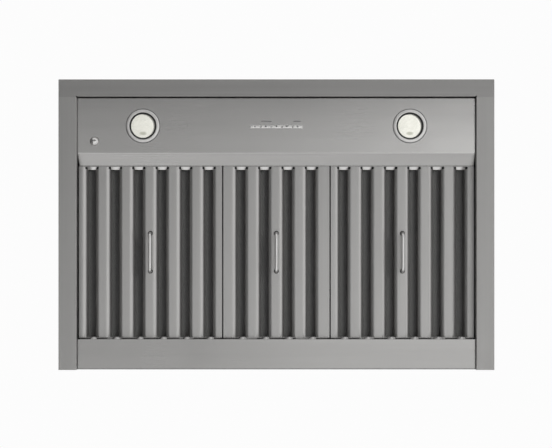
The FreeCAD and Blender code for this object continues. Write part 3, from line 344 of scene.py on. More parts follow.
FINISHES = {
    "canopy": brushed_steel("canopy_steel", 0.33, "x", 0.52),
    "side": brushed_steel("side_lip_steel", 0.38, "y", 0.52),
    "panel": brushed_steel("panel_steel", 0.43, "x", 0.24),
    "rail": brushed_steel("rail_steel", 0.32, "x", 0.23),
    "chimney": brushed_steel("chimney_steel", 0.37, "z"),
    "baffle": brushed_steel("baffle_steel", 0.38, "y", 0.40, 0.88),
    # Lighter copy of the baffle steel for faces turned to the right: painted highlight
    "fold": brushed_steel("fold_steel_painted_highlight", 0.47, "y", 0.36, 0.88),
    "polished": polished_steel("polished_steel", 0.64, 0.16),
    "pull": polished_steel("pull_steel", 0.74, 0.34),
    # Dark inner wall of each lamp recess: painted shade
    "sleeve": rubber_and_painted_shade("lamp_sleeve_painted_shade", 0.10),
    "tab": polished_steel("tab_steel", 0.72, 0.30),
    "bezel": satin_aluminium("bezel_aluminium", 0.62),
    "key": polished_steel("key_metal", 0.76, 0.22),
    "galvanised": galvanised_sheet("galvanised_sheet", 0.38),
    "enamel": enamel("motor_enamel", (0.05, 0.055, 0.06, 1)),
    "lens": frosted_lens("lamp_lens"),
    # Dark rubber for seals and gland, and painted shadow on the filter pulls' feet
    "rubber": rubber_and_painted_shade("dark_rubber", 0.012),
    # Near-black ring round each bezel: painted shadow
    "gasket": rubber_and_painted_shade("lamp_outline_painted_shadow", 0.08),
    "white": moulded_plastic("white_plastic", (0.62, 0.62, 0.60, 1)),
    "dark": moulded_plastic("dark_plastic", (0.02, 0.02, 0.021, 1)),
    "wire": filter_wire("filter_wire", 0.16),
    # Near-black filter pad: painted shade for the depth of the mesh
    "pad": filter_wire("filter_pad_painted_shade", 0.05),
    "board": circuit_board("circuit_board"),
    "lead": moulded_plastic("wire_cover", (0.03, 0.03, 0.034, 1), 0.5),
    "window": moulded_plastic("window_plastic", (0.15, 0.15, 0.15, 1), 0.3),
}


# Mesh helpers

def only(kind, items):
    """Pick the items of one kind out of what an operator made."""
    return [item for item in items if isinstance(item, kind)]


def once(items):
    """Return the items in their order, each of them once."""
    return list(dict.fromkeys(items))


def path(bm, points):
    """Join a few points by edges."""
    verts = [bm.verts.new(point) for point in points]
    return [bm.edges.new(pair) for pair in zip(verts, verts[1:])]


def outline(bm, points):
    """Join a few points by a closed ring of edges."""
    verts = [bm.verts.new(point) for point in points]
    return [bm.edges.new(pair) for pair in zip(verts, verts[1:] + verts[:1])]


def rectangle(bm, low, high, level):
    """Draw the ring of edges round a rectangle: front, right, rear, left."""
    corners = [(low[0], low[1]), (high[0], low[1]), (high[0], high[1]), (low[0], high[1])]
    return outline(bm, [(x, y, level) for x, y in corners])


def ring(bm, centre, radius, segments):
    """Draw a round ring of edges about a vertical line."""
    made = bmesh.ops.create_circle(bm, segments=segments, radius=radius, matrix=Matrix.Translation(centre))
    return once(edge for vert in made["verts"] for edge in vert.link_edges)


def sweep(bm, edges, shift=(0, 0, 0), scale=(1, 1, 1)):
    """Extrude edges into a strip, scale its far edge about the origin and move it."""
    made = bmesh.ops.extrude_edge_only(bm, edges=edges)["geom"]
    far = only(bmesh.types.BMVert, made)
    bmesh.ops.scale(bm, vec=scale, verts=far)
    bmesh.ops.translate(bm, vec=shift, verts=far)
    return only(bmesh.types.BMEdge, made)


ARCH_SHARES = (-1, -0.6, -0.2, 0.2, 0.6, 1)


def arched_tab(bm, middle, rows, arch):
    """Add a strip with raised sides, drawn through rows of a depth, a level and a half width."""
    depth, level, half = rows[0]
    edges = path(bm, [(share * half, depth, level + arch * share ** 2) for share in ARCH_SHARES])
    made = edges[:]
    for next_depth, next_level, next_half in rows[1:]:
        edges = sweep(bm, edges, (0, next_depth - depth, next_level - level), (next_half / half, 1, 1))
        made += edges
        depth, level, half = next_depth, next_level, next_half
    bmesh.ops.translate(bm, vec=(middle, 0, 0), verts=once(vert for edge in made for vert in edge.verts))


def cut(bm, place, normal, faces=None):
    """Divide some faces, or all, along a plane."""
    faces = faces or bm.faces[:]
    edges = once(edge for face in faces for edge in face.edges)
    verts = once(vert for face in faces for vert in face.verts)
    bmesh.ops.bisect_plane(bm, geom=verts + edges + faces, plane_co=place, plane_no=normal)


def face_out(bm, direction):
    """Turn a sheet so that its outermost face in a direction looks that way."""
    bmesh.ops.remove_doubles(bm, verts=bm.verts[:], dist=MERGE)
    bmesh.ops.recalc_face_normals(bm, faces=bm.faces[:])
    bm.normal_update()
    way = Vector(direction)
    outermost = max(bm.faces, key=lambda face: face.calc_center_median().dot(way))
    if outermost.normal.dot(way) < 0:
        bmesh.ops.reverse_faces(bm, faces=bm.faces[:])
    bm.normal_update()


def round_edges(bm, radius, segments, edges=None):
    """Round the given edges, or every fold."""
    if edges is None:
        inner = [edge for edge in bm.edges if len(edge.link_faces) == 2]
        edges = [edge for edge in inner if edge.calc_face_angle() > FOLD]
    bmesh.ops.bevel(
        bm, geom=edges, offset=radius, offset_type="OFFSET", affect="EDGES",
        segments=segments, profile=0.5, material=-1,
    )


def block(bm, low, high, radius=0.0, segments=2):
    """Add a box between two corners, its edges rounded if a radius is given."""
    made = bmesh.ops.create_cube(bm, size=1.0)["verts"]
    low, high = Vector(low), Vector(high)
    bmesh.ops.scale(bm, vec=high - low, verts=made)
    bmesh.ops.translate(bm, vec=(low + high) / 2, verts=made)
    if radius:
        round_edges(bm, radius, segments, once(edge for vert in made for edge in vert.link_edges))


def turned(bm, centre, profile, steps):
    """Spin a profile of radius and height about a vertical line, its faces looking outward."""
    x, y, z = centre
    edges = path(bm, [(x + radius, y, z + height) for radius, height in profile])
    verts = once(vert for edge in edges for vert in edge.verts)
    bmesh.ops.spin(
        bm, geom=verts + edges, cent=centre, axis=(0, 0, 1), angle=math.tau, steps=steps, use_merge=True,
    )
    bmesh.ops.remove_doubles(bm, verts=bm.verts[:], dist=MERGE)
    bmesh.ops.recalc_face_normals(bm, faces=bm.faces[:])


def piece(name, bm, body, finish, slot, *nodes):
    """Make an object of a mesh, dress it, and let it ride on a body in place of its nodes."""
    bmesh.ops.remove_doubles(bm, verts=bm.verts[:], dist=MERGE)
    bm.normal_update()
    for face in bm.faces:
        face.smooth = True
    for edge in bm.edges:
        edge.smooth = len(edge.link_faces) == 2 and edge.calc_face_angle() < SHARP
    mesh = bpy.data.meshes.new(name)
    bm.to_mesh(mesh)
    bm.free()
    for one in (finish if isinstance(finish, tuple) else (finish,)):
        mesh.materials.append(FINISHES[one])
    item = bpy.data.objects.new(name, mesh)
    bpy.context.scene.collection.objects.link(item)
    item.modifiers.new("flat_faces", "WEIGHTED_NORMAL").keep_sharp = True
    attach(item, body)
    if nodes:
        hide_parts(*nodes)


# Canopy and panels

LIP_SIDE = 0.038
LIP_FRONT = 0.036
LIP_RETURN = 0.012
BAND_HEIGHT = 0.060
RELIEF = 0.0013
END_INSET = 0.0002
SIDEWAYS = 0.3
FOLD_RADIUS = 0.0010
RIM_RADIUS = 0.0016


def on_rim(point, low, high):
    """Say whether a point lies on the canopy's outer edge, front or sides."""
    return abs(abs(point.x) - high.x) < MERGE or abs(point.y - low.y) < MERGE


def notch_corners(bm, inner_x, inner_y):
    """Cut a small square relief out of the lip at both inner corners."""
    for near in (-RELIEF, RELIEF):
        cut(bm, (-inner_x - near, 0, 0), (1, 0, 0))
        cut(bm, (inner_x + near, 0, 0), (1, 0, 0))
        cut(bm, (0, inner_y + near, 0), (0, 1, 0))
    notch = []
    for face in bm.faces:
        centre = face.calc_center_median()
        if abs(abs(centre.x) - inner_x) < RELIEF and abs(centre.y - inner_y) < RELIEF:
            notch.append(face)
    bmesh.ops.delete(bm, geom=notch, context="FACES")


def canopy():
    """Folded rim with closed rear ends, upright band and slopes up to the chimney."""
    low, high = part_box("canopy_shell")
    chimney_low, chimney_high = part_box("lower_chimney")
    inner_x = high.x - LIP_SIDE
    inner_y = low.y + LIP_FRONT
    top = low.z + LIP_RETURN
    bm = bmesh.new()
    corners = [(-inner_x, 0), (-inner_x, inner_y), (inner_x, inner_y), (inner_x, 0)]
    rim = path(bm, [(x, y, top) for x, y in corners])
    rim = sweep(bm, rim, (0, 0, -LIP_RETURN))
    sweep(bm, rim, scale=(high.x / inner_x, low.y / inner_y, 1))
    notch_corners(bm, inner_x, inner_y)
    rim = [
        edge for edge in bm.edges
        if len(edge.link_faces) == 1 and all(on_rim(vert.co, low, high) for vert in edge.verts)
    ]
    rim = sweep(bm, rim, (0, 0, BAND_HEIGHT))
    slope_height = high.z - low.z - BAND_HEIGHT
    sweep(bm, rim, (0, 0, slope_height), (chimney_high.x / high.x, chimney_low.y / low.y, 1))
    bm.normal_update()
    for face in bm.faces:
        centre = face.calc_center_median()
        beside = abs(centre.x) > inner_x - RELIEF and centre.y > inner_y + RELIEF
        face.material_index = 1 if beside or abs(face.normal.x) > SIDEWAYS else 0
    bmesh.ops.dissolve_limit(
        bm, angle_limit=FLAT, verts=bm.verts[:], edges=bm.edges[:], delimit={"NORMAL", "MATERIAL"},
    )
    face_out(bm, (0, -1, 0))
    round_edges(bm, RIM_RADIUS, FOLD_STEPS)
    bmesh.ops.solidify(bm, geom=bm.faces[:], thickness=SHEET)
    for sign in (-1, 1):
        near, far = sorted((sign * (inner_x + SHEET / 2), sign * (high.x - SHEET / 2)))
        block(bm, (near, -SHEET, low.z + SHEET / 2), (far, -END_INSET, top))
    piece("canopy_sheet", bm, "hood", ("canopy", "side"), "brushed_steel", "canopy_shell")


LAMP_HOLE = 0.0301
LAMP_HOLE_SIDES = 48
KEYS = ("light", "low", "medium", "high", "power")
PANEL_MARGIN = 0.006
PANEL_CORNER = 0.0026
PANEL_REACH = 0.0016
PANEL_RIGHT = 0.0020
PANEL_FLANGE = 0.0212
STRIP_FOLD_Y = -0.455
STRIP_RISE = 0.014
STRIP_TAPER = 0.0026
KEY_GAP = 0.00065
KEY_FLANGE = 0.00075
LEFT_WINDOW_END = -0.010
RIGHT_WINDOW_START = 0.036
SENSOR_HOLE = 0.003
SENSOR_HOLE_SIDES = 24


def key_cap(key):
    """Return the corners of a key without the flange round it."""
    low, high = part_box(f"{key}_button")
    flange = Vector((KEY_FLANGE, KEY_FLANGE, 0))
    return low + flange, high - flange


def windows():
    """Return the corners of the two indicator windows in the panel."""
    low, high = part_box("indicator_windows")
    left = ((low.x, low.y), (LEFT_WINDOW_END, high.y))
    right = ((RIGHT_WINDOW_START, low.y), (high.x, high.y))
    return left, right


def control_panel():
    """Folded sheet with holes for keys, lamps, windows and sensor, and its sloped rear strip."""
    low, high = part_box("control_panel")
    level = low.z
    bm = bmesh.new()
    front_y = low.y + PANEL_MARGIN
    rear_y = STRIP_FOLD_Y - PANEL_MARGIN
    border = rectangle(bm, (low.x, front_y), (high.x + PANEL_RIGHT, rear_y), level)
    front, rear = border[0], border[2]
    edges = border[:]
    for lamp_x in LAMPS.values():
        edges += ring(bm, (lamp_x, LAMP_Y, level), LAMP_HOLE, LAMP_HOLE_SIDES)
    gap = Vector((KEY_GAP, KEY_GAP))
    for key in KEYS:
        corner, far = key_cap(key)
        edges += rectangle(bm, corner.xy - gap, far.xy + gap, level)
    for corner, far in windows():
        edges += rectangle(bm, corner, far, level)
    sensor_low, sensor_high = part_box("heat_sensor")
    sensor = (sensor_low + sensor_high) / 2
    edges += ring(bm, (sensor.x, sensor.y, level), SENSOR_HOLE, SENSOR_HOLE_SIDES)
    bmesh.ops.triangle_fill(bm, use_beauty=True, edges=edges)
    edge = sweep(bm, [front], (0, PANEL_CORNER - PANEL_MARGIN - PANEL_REACH, 0))
    edge = sweep(bm, edge, (0, -PANEL_CORNER, 0), (1 - PANEL_CORNER / high.x, 1, 1))
    sweep(bm, edge, (0, 0, PANEL_FLANGE))
    edge = sweep(bm, [rear], (0, PANEL_MARGIN, 0))
    edge = sweep(bm, edge, (0, high.y - STRIP_FOLD_Y + PANEL_REACH, STRIP_RISE))
    left_end = [vert for vert in edge[0].verts if vert.co.x < 0]
    bmesh.ops.translate(bm, vec=(STRIP_TAPER, 0, 0), verts=left_end)
    sweep(bm, edge, (0, 0, high.z - level - STRIP_RISE))
    face_out(bm, (0, 0, -1))
    round_edges(bm, FOLD_RADIUS, FOLD_STEPS)
    bmesh.ops.solidify(bm, geom=bm.faces[:], thickness=SHEET)
    piece("panel_sheet", bm, "hood", "panel", "brushed_steel", "control_panel")


# Rows of a lug: reach from the rail's front edge, and half width. The lean draws lugs towards the middle.
LUG_ROWS = ((0, 0.0084), (-0.0028, 0.0076), (-0.0045, 0.0046))
LUG_ARCH = 0.0022
LUG_SHIFT = 0.0016
LUG_LEAN = 0.0061
RAIL_CLEARANCE = 0.0003
UPWARD = 0.25


def rear_rail():
    """Channel along the wall with an arched lug at the end of each filter slot."""
    low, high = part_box("rear_rail")
    front_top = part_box("filter_left_frame")[0].z - RAIL_CLEARANCE
    bm = bmesh.new()
    corners = [(high.y, high.z), (high.y, low.z), (low.y, low.z), (low.y, front_top)]
    edges = path(bm, [(low.x, y, z) for y, z in corners])
    sweep(bm, edges, (high.x - low.x, 0, 0))
    face_out(bm, (0, 0, -1))
    round_edges(bm, FOLD_RADIUS, FOLD_STEPS)
    rows = [(low.y + FOLD_RADIUS, low.z, LUG_ROWS[0][1])]
    rows += [(low.y + reach, low.z, half) for reach, half in LUG_ROWS]
    for side in FILTERS:
        for left, right in slot_spans(side):
            middle = (1 - LUG_LEAN) * (left + right) / 2 + LUG_SHIFT
            arched_tab(bm, middle, rows, LUG_ARCH)
    bm.normal_update()
    upward = [face for face in bm.faces if face.normal.z > UPWARD]
    bmesh.ops.reverse_faces(bm, faces=upward)
    bm.normal_update()
    bmesh.ops.solidify(bm, geom=bm.faces[:], thickness=SHEET)
    piece("rail_sheet", bm, "hood", "rail", "brushed_steel", "rear_rail")


CHIMNEY_RETURN = 0.014
CHIMNEY_FOLD = 0.0022
UPPER_WALL = 0.001


def chimney_cover(name, node, body, wall):
    """Three-sided cover with rounded folds."""
    low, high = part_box(node)
    bm = bmesh.new()
    corners = [(low.x, high.y), (low.x, low.y), (high.x, low.y), (high.x, high.y)]
    if node == "lower_chimney":
        corners = [(low.x + CHIMNEY_RETURN, high.y)] + corners + [(high.x - CHIMNEY_RETURN, high.y)]
    edges = path(bm, [(x, y, low.z) for x, y in corners])
    sweep(bm, edges, (0, 0, high.z - low.z))
    face_out(bm, (0, -1, 0))
    round_edges(bm, CHIMNEY_FOLD, FOLD_STEPS)
    bmesh.ops.solidify(bm, geom=bm.faces[:], thickness=wall)
    piece(name, bm, body, "chimney", "brushed_steel", node)


# Filters

# Number of slots of each filter, and the width of the plain strip at its left and right edge
FILTERS = {"left": (6, 0.0135), "middle": (4, 0.024), "right": (6, 0.0135)}
RIB = 0.0215
RIM = 0.001
RIM_FOLD = 0.0005
RIM_STEPS = 2
TOP_FLANGE = 0.008
TONGUE = Vector((0.030, 0.007, 0.002))
TONGUE_ROUND = 0.0006
END_RAIL = 0.0004
REAR_GAP = 0.001
# Each long edge of a slot is a roll that starts on the rib and runs into a sloping side
SLOT_DEPTH = 0.0164
RIB_ROLL_START = 0.0068
LEFT_ROLL = 0.0105
LEFT_ROLL_STEPS = 10
RIGHT_ROLL = 0.0072
RIGHT_ROLL_START = 0.0022
RIGHT_ROLL_STEPS = 8
LEFT_SLOPE = 0.0015
RIGHT_SLOPE = 0.0030
CORNER_RELIEF = 0.0048
BAFFLE_SHEET = 0.0008
WIRE = 0.0005
WIRE_PITCH = 0.0027
WIRE_SUNK = 0.0001
WIRE_LEAN = math.radians(30)
CUT_WIRE_SIDES = 8


def slot_spans(side):
    """Return the left and right edge of each slot of a filter."""
    low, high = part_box(f"filter_{side}_frame")
    count, edge_rail = FILTERS[side]
    width = (high.x - low.x - 2 * edge_rail - (count - 1) * RIB) / count
    starts = [low.x + edge_rail + number * (width + RIB) for number in range(count)]
    return [(start, start + width) for start in starts]


def slot_run(side):
    """Return how far the slots of a filter reach from front to rear."""
    low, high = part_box(f"filter_{side}_baffle")
    return low.y + END_RAIL, high.y - END_RAIL - REAR_GAP


def filter_rim(side):
    """Folded rim of one filter with two rear tongues."""
    low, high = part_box(f"filter_{side}_frame")
    rear = high.y - TONGUE.y - REAR_GAP
    middle = Vector(((low.x + high.x) / 2, (low.y + rear) / 2, 0))
    half = Vector((high.x - middle.x, rear - middle.y))
    bm = bmesh.new()
    edges = rectangle(bm, -half, half, low.z)
    edges = sweep(bm, edges, (0, 0, high.z - low.z))
    sweep(bm, edges, scale=(1 - TOP_FLANGE / half.x, 1 - TOP_FLANGE / half.y, 1))
    face_out(bm, (0, -1, 0))
    round_edges(bm, RIM_FOLD, RIM_STEPS)
    bmesh.ops.solidify(bm, geom=bm.faces[:], thickness=RIM)
    for sign in (-1, 1):
        start = Vector((sign * half.x / 2 - TONGUE.x / 2, half.y - RIM / 2, low.z))
        block(bm, start, start + TONGUE + Vector((0, RIM / 2, 0)), TONGUE_ROUND)
    bmesh.ops.translate(bm, vec=middle, verts=bm.verts[:])
    piece(f"filter_{side}_rim", bm, f"filter_{side}", "baffle", "filter_steel", f"filter_{side}_frame")


# Faces of the plate whose normal leans this far to the right, towards the light, take the lighter finish: a
# painted highlight
LIGHT_FROM = 0.28
LIGHT_TO = 0.68


def ends(spans):
    """Return the left and right ends of spans in one list."""
    return [x for span in spans for x in span]


def within(x, spans):
    """Say whether a place lies inside one of some spans."""
    return any(left < x < right for left, right in spans)


def long_folds(bm, places, level, front, rear):
    """Return the edges along the slots at the given places across the plate."""
    found = []
    for edge in bm.edges:
        start, end = (vert.co for vert in edge.verts)
        on_place = any(abs(start.x - x) < MERGE and abs(end.x - x) < MERGE for x in places)
        if on_place and max(start.z, end.z) < level + MERGE and front < (start.y + end.y) / 2 < rear:
            found.append(edge)
    return found


def baffle(side):
    """Pressed plate of one filter: rolled slot edges, and a relief beside each tab at the front."""
    low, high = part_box(f"filter_{side}_baffle")
    slots = slot_spans(side)
    left_folds = [left - RIB_ROLL_START + LEFT_ROLL for left, right in slots]
    right_folds = [right + RIGHT_ROLL_START - RIGHT_ROLL for left, right in slots]
    folds = list(zip(left_folds, right_folds))
    front, rear = slot_run(side)
    bm = bmesh.new()
    bmesh.ops.edgeloop_fill(bm, edges=rectangle(bm, low, (high.x, high.y - REAR_GAP), low.z))
    for x in ends(folds):
        cut(bm, (x, 0, 0), (1, 0, 0))
    for y in (front, rear):
        cut(bm, (0, y, 0), (0, 1, 0))
    floors = []
    for face in bm.faces:
        centre = face.calc_center_median()
        if front < centre.y < rear and within(centre.x, folds):
            floors.append(face)
    mouths = bmesh.ops.extrude_discrete_faces(bm, faces=floors)["faces"]
    for mouth in mouths:
        centre = mouth.calc_center_median()
        left_side = [vert for vert in mouth.verts if vert.co.x < centre.x]
        right_side = [vert for vert in mouth.verts if vert.co.x > centre.x]
        bmesh.ops.translate(bm, vec=(LEFT_SLOPE, 0, SLOT_DEPTH), verts=left_side)
        bmesh.ops.translate(bm, vec=(-RIGHT_SLOPE, 0, SLOT_DEPTH), verts=right_side)
    bmesh.ops.delete(bm, geom=mouths, context="FACES_ONLY")
    face_out(bm, (0, 0, -1))
    round_edges(bm, LEFT_ROLL, LEFT_ROLL_STEPS, long_folds(bm, left_folds, low.z, front, rear))
    round_edges(bm, RIGHT_ROLL, RIGHT_ROLL_STEPS, long_folds(bm, right_folds, low.z, front, rear))
    cut(bm, (0, front + CORNER_RELIEF, 0), (0, 1, 0))
    for x in ends(slots):
        ahead = [face for face in bm.faces if face.calc_center_median().y < front + CORNER_RELIEF]
        cut(bm, (x, 0, 0), (1, 0, 0), ahead)
    open_faces = []
    for face in bm.faces:
        centre = face.calc_center_median()
        if within(centre.x, slots) and front - MERGE < centre.y < front + CORNER_RELIEF:
            open_faces.append(face)
    bmesh.ops.delete(bm, geom=open_faces, context="FACES")
    bm.normal_update()
    for face in bm.faces:
        # Faces turned to the right take the lighter copy of the steel, a painted highlight
        face.material_index = int(LIGHT_FROM < face.normal.x < LIGHT_TO)
    bmesh.ops.solidify(bm, geom=bm.faces[:], thickness=BAFFLE_SHEET)
    piece(
        f"filter_{side}_plate", bm, f"filter_{side}", ("baffle", "fold"), "filter_steel",
        f"filter_{side}_baffle",
    )


TAB_ROOT = 0.0100
TAB_TIP = 0.0092
TAB_REACH = 0.0062
TAB_RISE = 0.0046
TAB_ARCH = 0.0026


def slot_tabs(side):
    """Bright tabs at the front ends of the slots of one filter."""
    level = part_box(f"filter_{side}_baffle")[0].z
    front = slot_run(side)[0]
    rows = ((front, level, TAB_ROOT), (front + TAB_REACH, level + TAB_RISE, TAB_TIP))
    bm = bmesh.new()
    for left, right in slot_spans(side):
        arched_tab(bm, (left + right) / 2, rows, TAB_ARCH)
    bmesh.ops.recalc_face_normals(bm, faces=bm.faces[:])
    upward = [face for face in bm.faces if face.normal.z > 0]
    bmesh.ops.reverse_faces(bm, faces=upward)
    bm.normal_update()
    bmesh.ops.solidify(bm, geom=bm.faces[:], thickness=BAFFLE_SHEET)
    piece(f"filter_{side}_tabs", bm, f"filter_{side}", "tab", "filter_steel")


def wire_mesh(side):
    """Crossed layers of slanting wire below and above the pad of one filter."""
    low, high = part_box(f"filter_{side}_mesh")
    middle = (low + high) / 2
    half = (high - low) / 2
    reach = half.xy.length
    count = int(2 * reach / WIRE_PITCH)
    bm = bmesh.new()
    above = high.z - WIRE_SUNK
    layers = (
        (low.z - WIRE, WIRE_LEAN),
        (low.z - 2 * WIRE, -WIRE_LEAN),
        (above, WIRE_LEAN),
        (above + WIRE, -WIRE_LEAN),
    )
    for bottom, lean in layers:
        known = set(bm.verts)
        block(bm, (-reach, -reach, bottom), (reach, WIRE - reach, bottom + WIRE))
        fresh = [vert for vert in bm.verts if vert not in known]
        edges = once(edge for vert in fresh for edge in vert.link_edges)
        faces = once(face for vert in fresh for face in vert.link_faces)
        bmesh.ops.spin(
            bm, geom=fresh + edges + faces, cent=(0, 0, 0), axis=(0, 0, 1), dvec=(0, WIRE_PITCH, 0),
            angle=0, steps=count, use_duplicate=True,
        )
        fresh = [vert for vert in bm.verts if vert not in known]
        bmesh.ops.rotate(bm, cent=(0, 0, 0), matrix=Matrix.Rotation(lean, 3, "Z"), verts=fresh)
    for x, y in ((1, 0), (-1, 0), (0, 1), (0, -1)):
        bmesh.ops.bisect_plane(
            bm, geom=bm.verts[:] + bm.edges[:] + bm.faces[:], plane_co=(x * half.x, y * half.y, 0),
            plane_no=(x, y, 0), clear_outer=True,
        )
    open_edges = [edge for edge in bm.edges if edge.is_boundary]
    bmesh.ops.holes_fill(bm, edges=open_edges, sides=CUT_WIRE_SIDES)
    bmesh.ops.recalc_face_normals(bm, faces=bm.faces[:])
    bmesh.ops.translate(bm, vec=(middle.x, middle.y, 0), verts=bm.verts[:])
    piece(f"filter_{side}_wires", bm, f"filter_{side}", "wire", "filter_mesh")


HANDLE_WIRE = 0.003
HANDLE_SIDES = 24
HANDLE_BEND = 0.009
BEND_STEPS = 10
HANDLE_FOOT = 0.005
FOOT_STEPS = 32
FOOT_PROFILE = (
    (0.0030, 0.0), (0.0030, -0.0022), (0.0036, -0.0025), (0.0044, -0.0023), (0.0050, -0.0014),
    (0.0050, 0.0), (0.0030, 0.0),
)


def bend(bm, edges, centre):
    """Carry a ring of edges round a quarter bend from down to rearward or from rearward to up."""
    verts = once(vert for edge in edges for vert in edge.verts)
    made = bmesh.ops.spin(
        bm, geom=verts + edges, cent=centre, axis=(1, 0, 0), angle=math.pi / 2, steps=BEND_STEPS,
    )
    return only(bmesh.types.BMEdge, made["geom_last"])


def handle(side):
    """Bent wire pull and its two near-black feet, whose darkness is painted shadow."""
    low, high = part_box(f"filter_{side}_handle")
    x = (low.x + high.x) / 2
    front = low.y + HANDLE_FOOT
    rear = high.y - HANDLE_FOOT
    bend_z = low.z + HANDLE_WIRE + HANDLE_BEND
    bm = bmesh.new()
    section = ring(bm, (x, front, high.z), HANDLE_WIRE, HANDLE_SIDES)
    section = sweep(bm, section, (0, 0, bend_z - high.z))
    section = bend(bm, section, (x, front + HANDLE_BEND, bend_z))
    section = sweep(bm, section, (0, rear - front - 2 * HANDLE_BEND, 0))
    section = bend(bm, section, (x, rear - HANDLE_BEND, bend_z))
    sweep(bm, section, (0, 0, high.z - bend_z))
    open_edges = [edge for edge in bm.edges if edge.is_boundary]
    bmesh.ops.holes_fill(bm, edges=open_edges, sides=HANDLE_SIDES)
    bmesh.ops.recalc_face_normals(bm, faces=bm.faces[:])
    piece(f"filter_{side}_pull", bm, f"filter_{side}", "pull", "polished_steel", f"filter_{side}_handle")
    # Near-black feet at the wire's ends: painted shadow
    bm = bmesh.new()
    for y in (front, rear):
        turned(bm, (x, y, high.z), FOOT_PROFILE, FOOT_STEPS)
    piece(f"filter_{side}_feet", bm, f"filter_{side}", "rubber", "dark_rubber")


# Lamps, keys and sensor

# Profiles are rows of a radius and a height; the lens counts its heights from its recess
LAMP_STEPS = 96
BEZEL_PROFILE = (
    (0.0285, 0.0172), (0.0285, -0.0012), (0.0290, -0.0018), (0.0300, -0.0020), (0.0328, -0.0018),
    (0.0342, -0.0010), (0.0348, 0.0), (0.0300, 0.0), (0.0300, 0.0172), (0.0285, 0.0172),
)
# Thin dark ring round the bezel: painted shadow at its edge
SHADOW_RING_PROFILE = ((0.0344, 0.0), (0.0344, -0.0002), (0.0364, -0.0002), (0.0364, 0.0), (0.0344, 0.0))
SLEEVE_START = -0.0010
LENS_RECESS = 0.0021
LENS_PROFILE = (
    (0.0, 0.0), (0.012, 0.0001), (0.020, 0.0004), (0.0257, 0.0009), (0.0267, 0.0018), (0.0268, 0.0030),
    (0.0284, 0.0030), (0.0284, 0.0045), (0.0, 0.0045),
)


def lamp(side):
    """Crowned trim ring, dark ring of painted shadow round it, and slightly domed lens of one lamp."""
    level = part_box("control_panel")[0].z
    centre = Vector((LAMPS[side], LAMP_Y, level))
    bm = bmesh.new()
    turned(bm, centre, BEZEL_PROFILE, LAMP_STEPS)
    # Inward faces of the recess take the dark sleeve finish, which is painted shade
    for face in bm.faces:
        arm = face.calc_center_median() - centre
        inward = face.normal.xy.dot(arm.xy) < 0
        face.material_index = 1 if inward and arm.z > SLEEVE_START else 0
    piece(f"lamp_{side}_trim", bm, "hood", ("bezel", "sleeve"), "polished_steel", f"lamp_{side}_bezel")
    bm = bmesh.new()
    # The dark ring round the bezel is painted shadow
    turned(bm, centre, SHADOW_RING_PROFILE, LAMP_STEPS)
    piece(f"lamp_{side}_gasket", bm, "hood", "gasket", "dark_rubber")
    bm = bmesh.new()
    turned(bm, centre + Vector((0, 0, LENS_RECESS)), LENS_PROFILE, LAMP_STEPS)
    piece(f"lamp_{side}_glass", bm, "hood", "lens", "lamp_glass", f"lamp_{side}_lens")


KEY_ROUND = 0.0015
KEY_EDGE = 0.0002
KEY_FLANGE_DROP = 0.005
KEY_FLANGE_THICKNESS = 0.001
KEY_STEM = 0.0020
MARK_RISE = 0.0001
MARK_STEPS = 32
MARK_RING = (
    (0.0010, -MARK_RISE), (0.0018, -MARK_RISE), (0.0018, MARK_RISE), (0.0010, MARK_RISE),
    (0.0010, -MARK_RISE),
)
BAR_PITCH = 0.0018
BAR_HALF = 0.0006
MARK_HALF = 0.0015
BAR_FRONT = 0.0022
BAR_REAR = 0.0009
# A key without bars has a ring
KEY_BARS = {"light": 0, "low": 1, "medium": 2, "high": 3, "power": 0}


def mark_bar(bm, x, half, front, rear, level):
    """Add one flat bar to the mark on a key."""
    block(bm, (x - half, front, level - MARK_RISE), (x + half, rear, level + MARK_RISE))


def key(name):
    """Rounded push key with a small plain mark on its face."""
    low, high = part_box(f"{name}_button")
    cap_low, cap_high = key_cap(name)
    middle = (low + high) / 2
    flange_low = high.z - KEY_FLANGE_DROP
    flange_top = flange_low + KEY_FLANGE_THICKNESS
    stem_low = (middle.x - KEY_STEM, middle.y - KEY_STEM, flange_top)
    stem_high = (middle.x + KEY_STEM, middle.y + KEY_STEM, high.z)
    bm = bmesh.new()
    block(bm, cap_low, (cap_high.x, cap_high.y, flange_low), KEY_ROUND, FOLD_STEPS)
    block(bm, (low.x, low.y, flange_low), (high.x, high.y, flange_top), KEY_EDGE)
    block(bm, stem_low, stem_high, KEY_EDGE)
    piece(f"{name}_cap", bm, f"{name}_key", "key", "polished_steel", f"{name}_button")
    bm = bmesh.new()
    level = cap_low.z
    count = KEY_BARS[name]
    if count:
        half = max(BAR_HALF, MARK_HALF / count)
        for number in range(count):
            x = middle.x + (number - (count - 1) / 2) * BAR_PITCH
            mark_bar(bm, x, half, middle.y - BAR_FRONT, middle.y + BAR_REAR, level)
    else:
        turned(bm, (middle.x, middle.y, level), MARK_RING, MARK_STEPS)
    if name == "power":
        mark_bar(bm, middle.x, BAR_HALF, middle.y - BAR_FRONT, middle.y, level)
    piece(f"{name}_mark", bm, f"{name}_key", "dark", "dark_plastic")


DOME_STEPS = 10
DOME_FULLNESS = 0.8
SENSOR_STEPS = 48


def sensor_dome():
    """Bright domed probe under the panel, and its stem."""
    low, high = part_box("heat_sensor")
    middle = (low + high) / 2
    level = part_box("control_panel")[0].z
    radius = level - low.z
    profile = []
    for step in range(DOME_STEPS + 1):
        angle = math.pi / 2 * step / DOME_STEPS
        profile.append((radius * math.sin(angle) ** DOME_FULLNESS, -radius * math.cos(angle)))
    profile += [(SENSOR_HOLE, 0.0), (SENSOR_HOLE, high.z - level), (0.0, high.z - level)]
    bm = bmesh.new()
    turned(bm, (middle.x, middle.y, level), profile, SENSOR_STEPS)
    piece("sensor_dome", bm, "hood", "polished", "polished_steel", "heat_sensor")


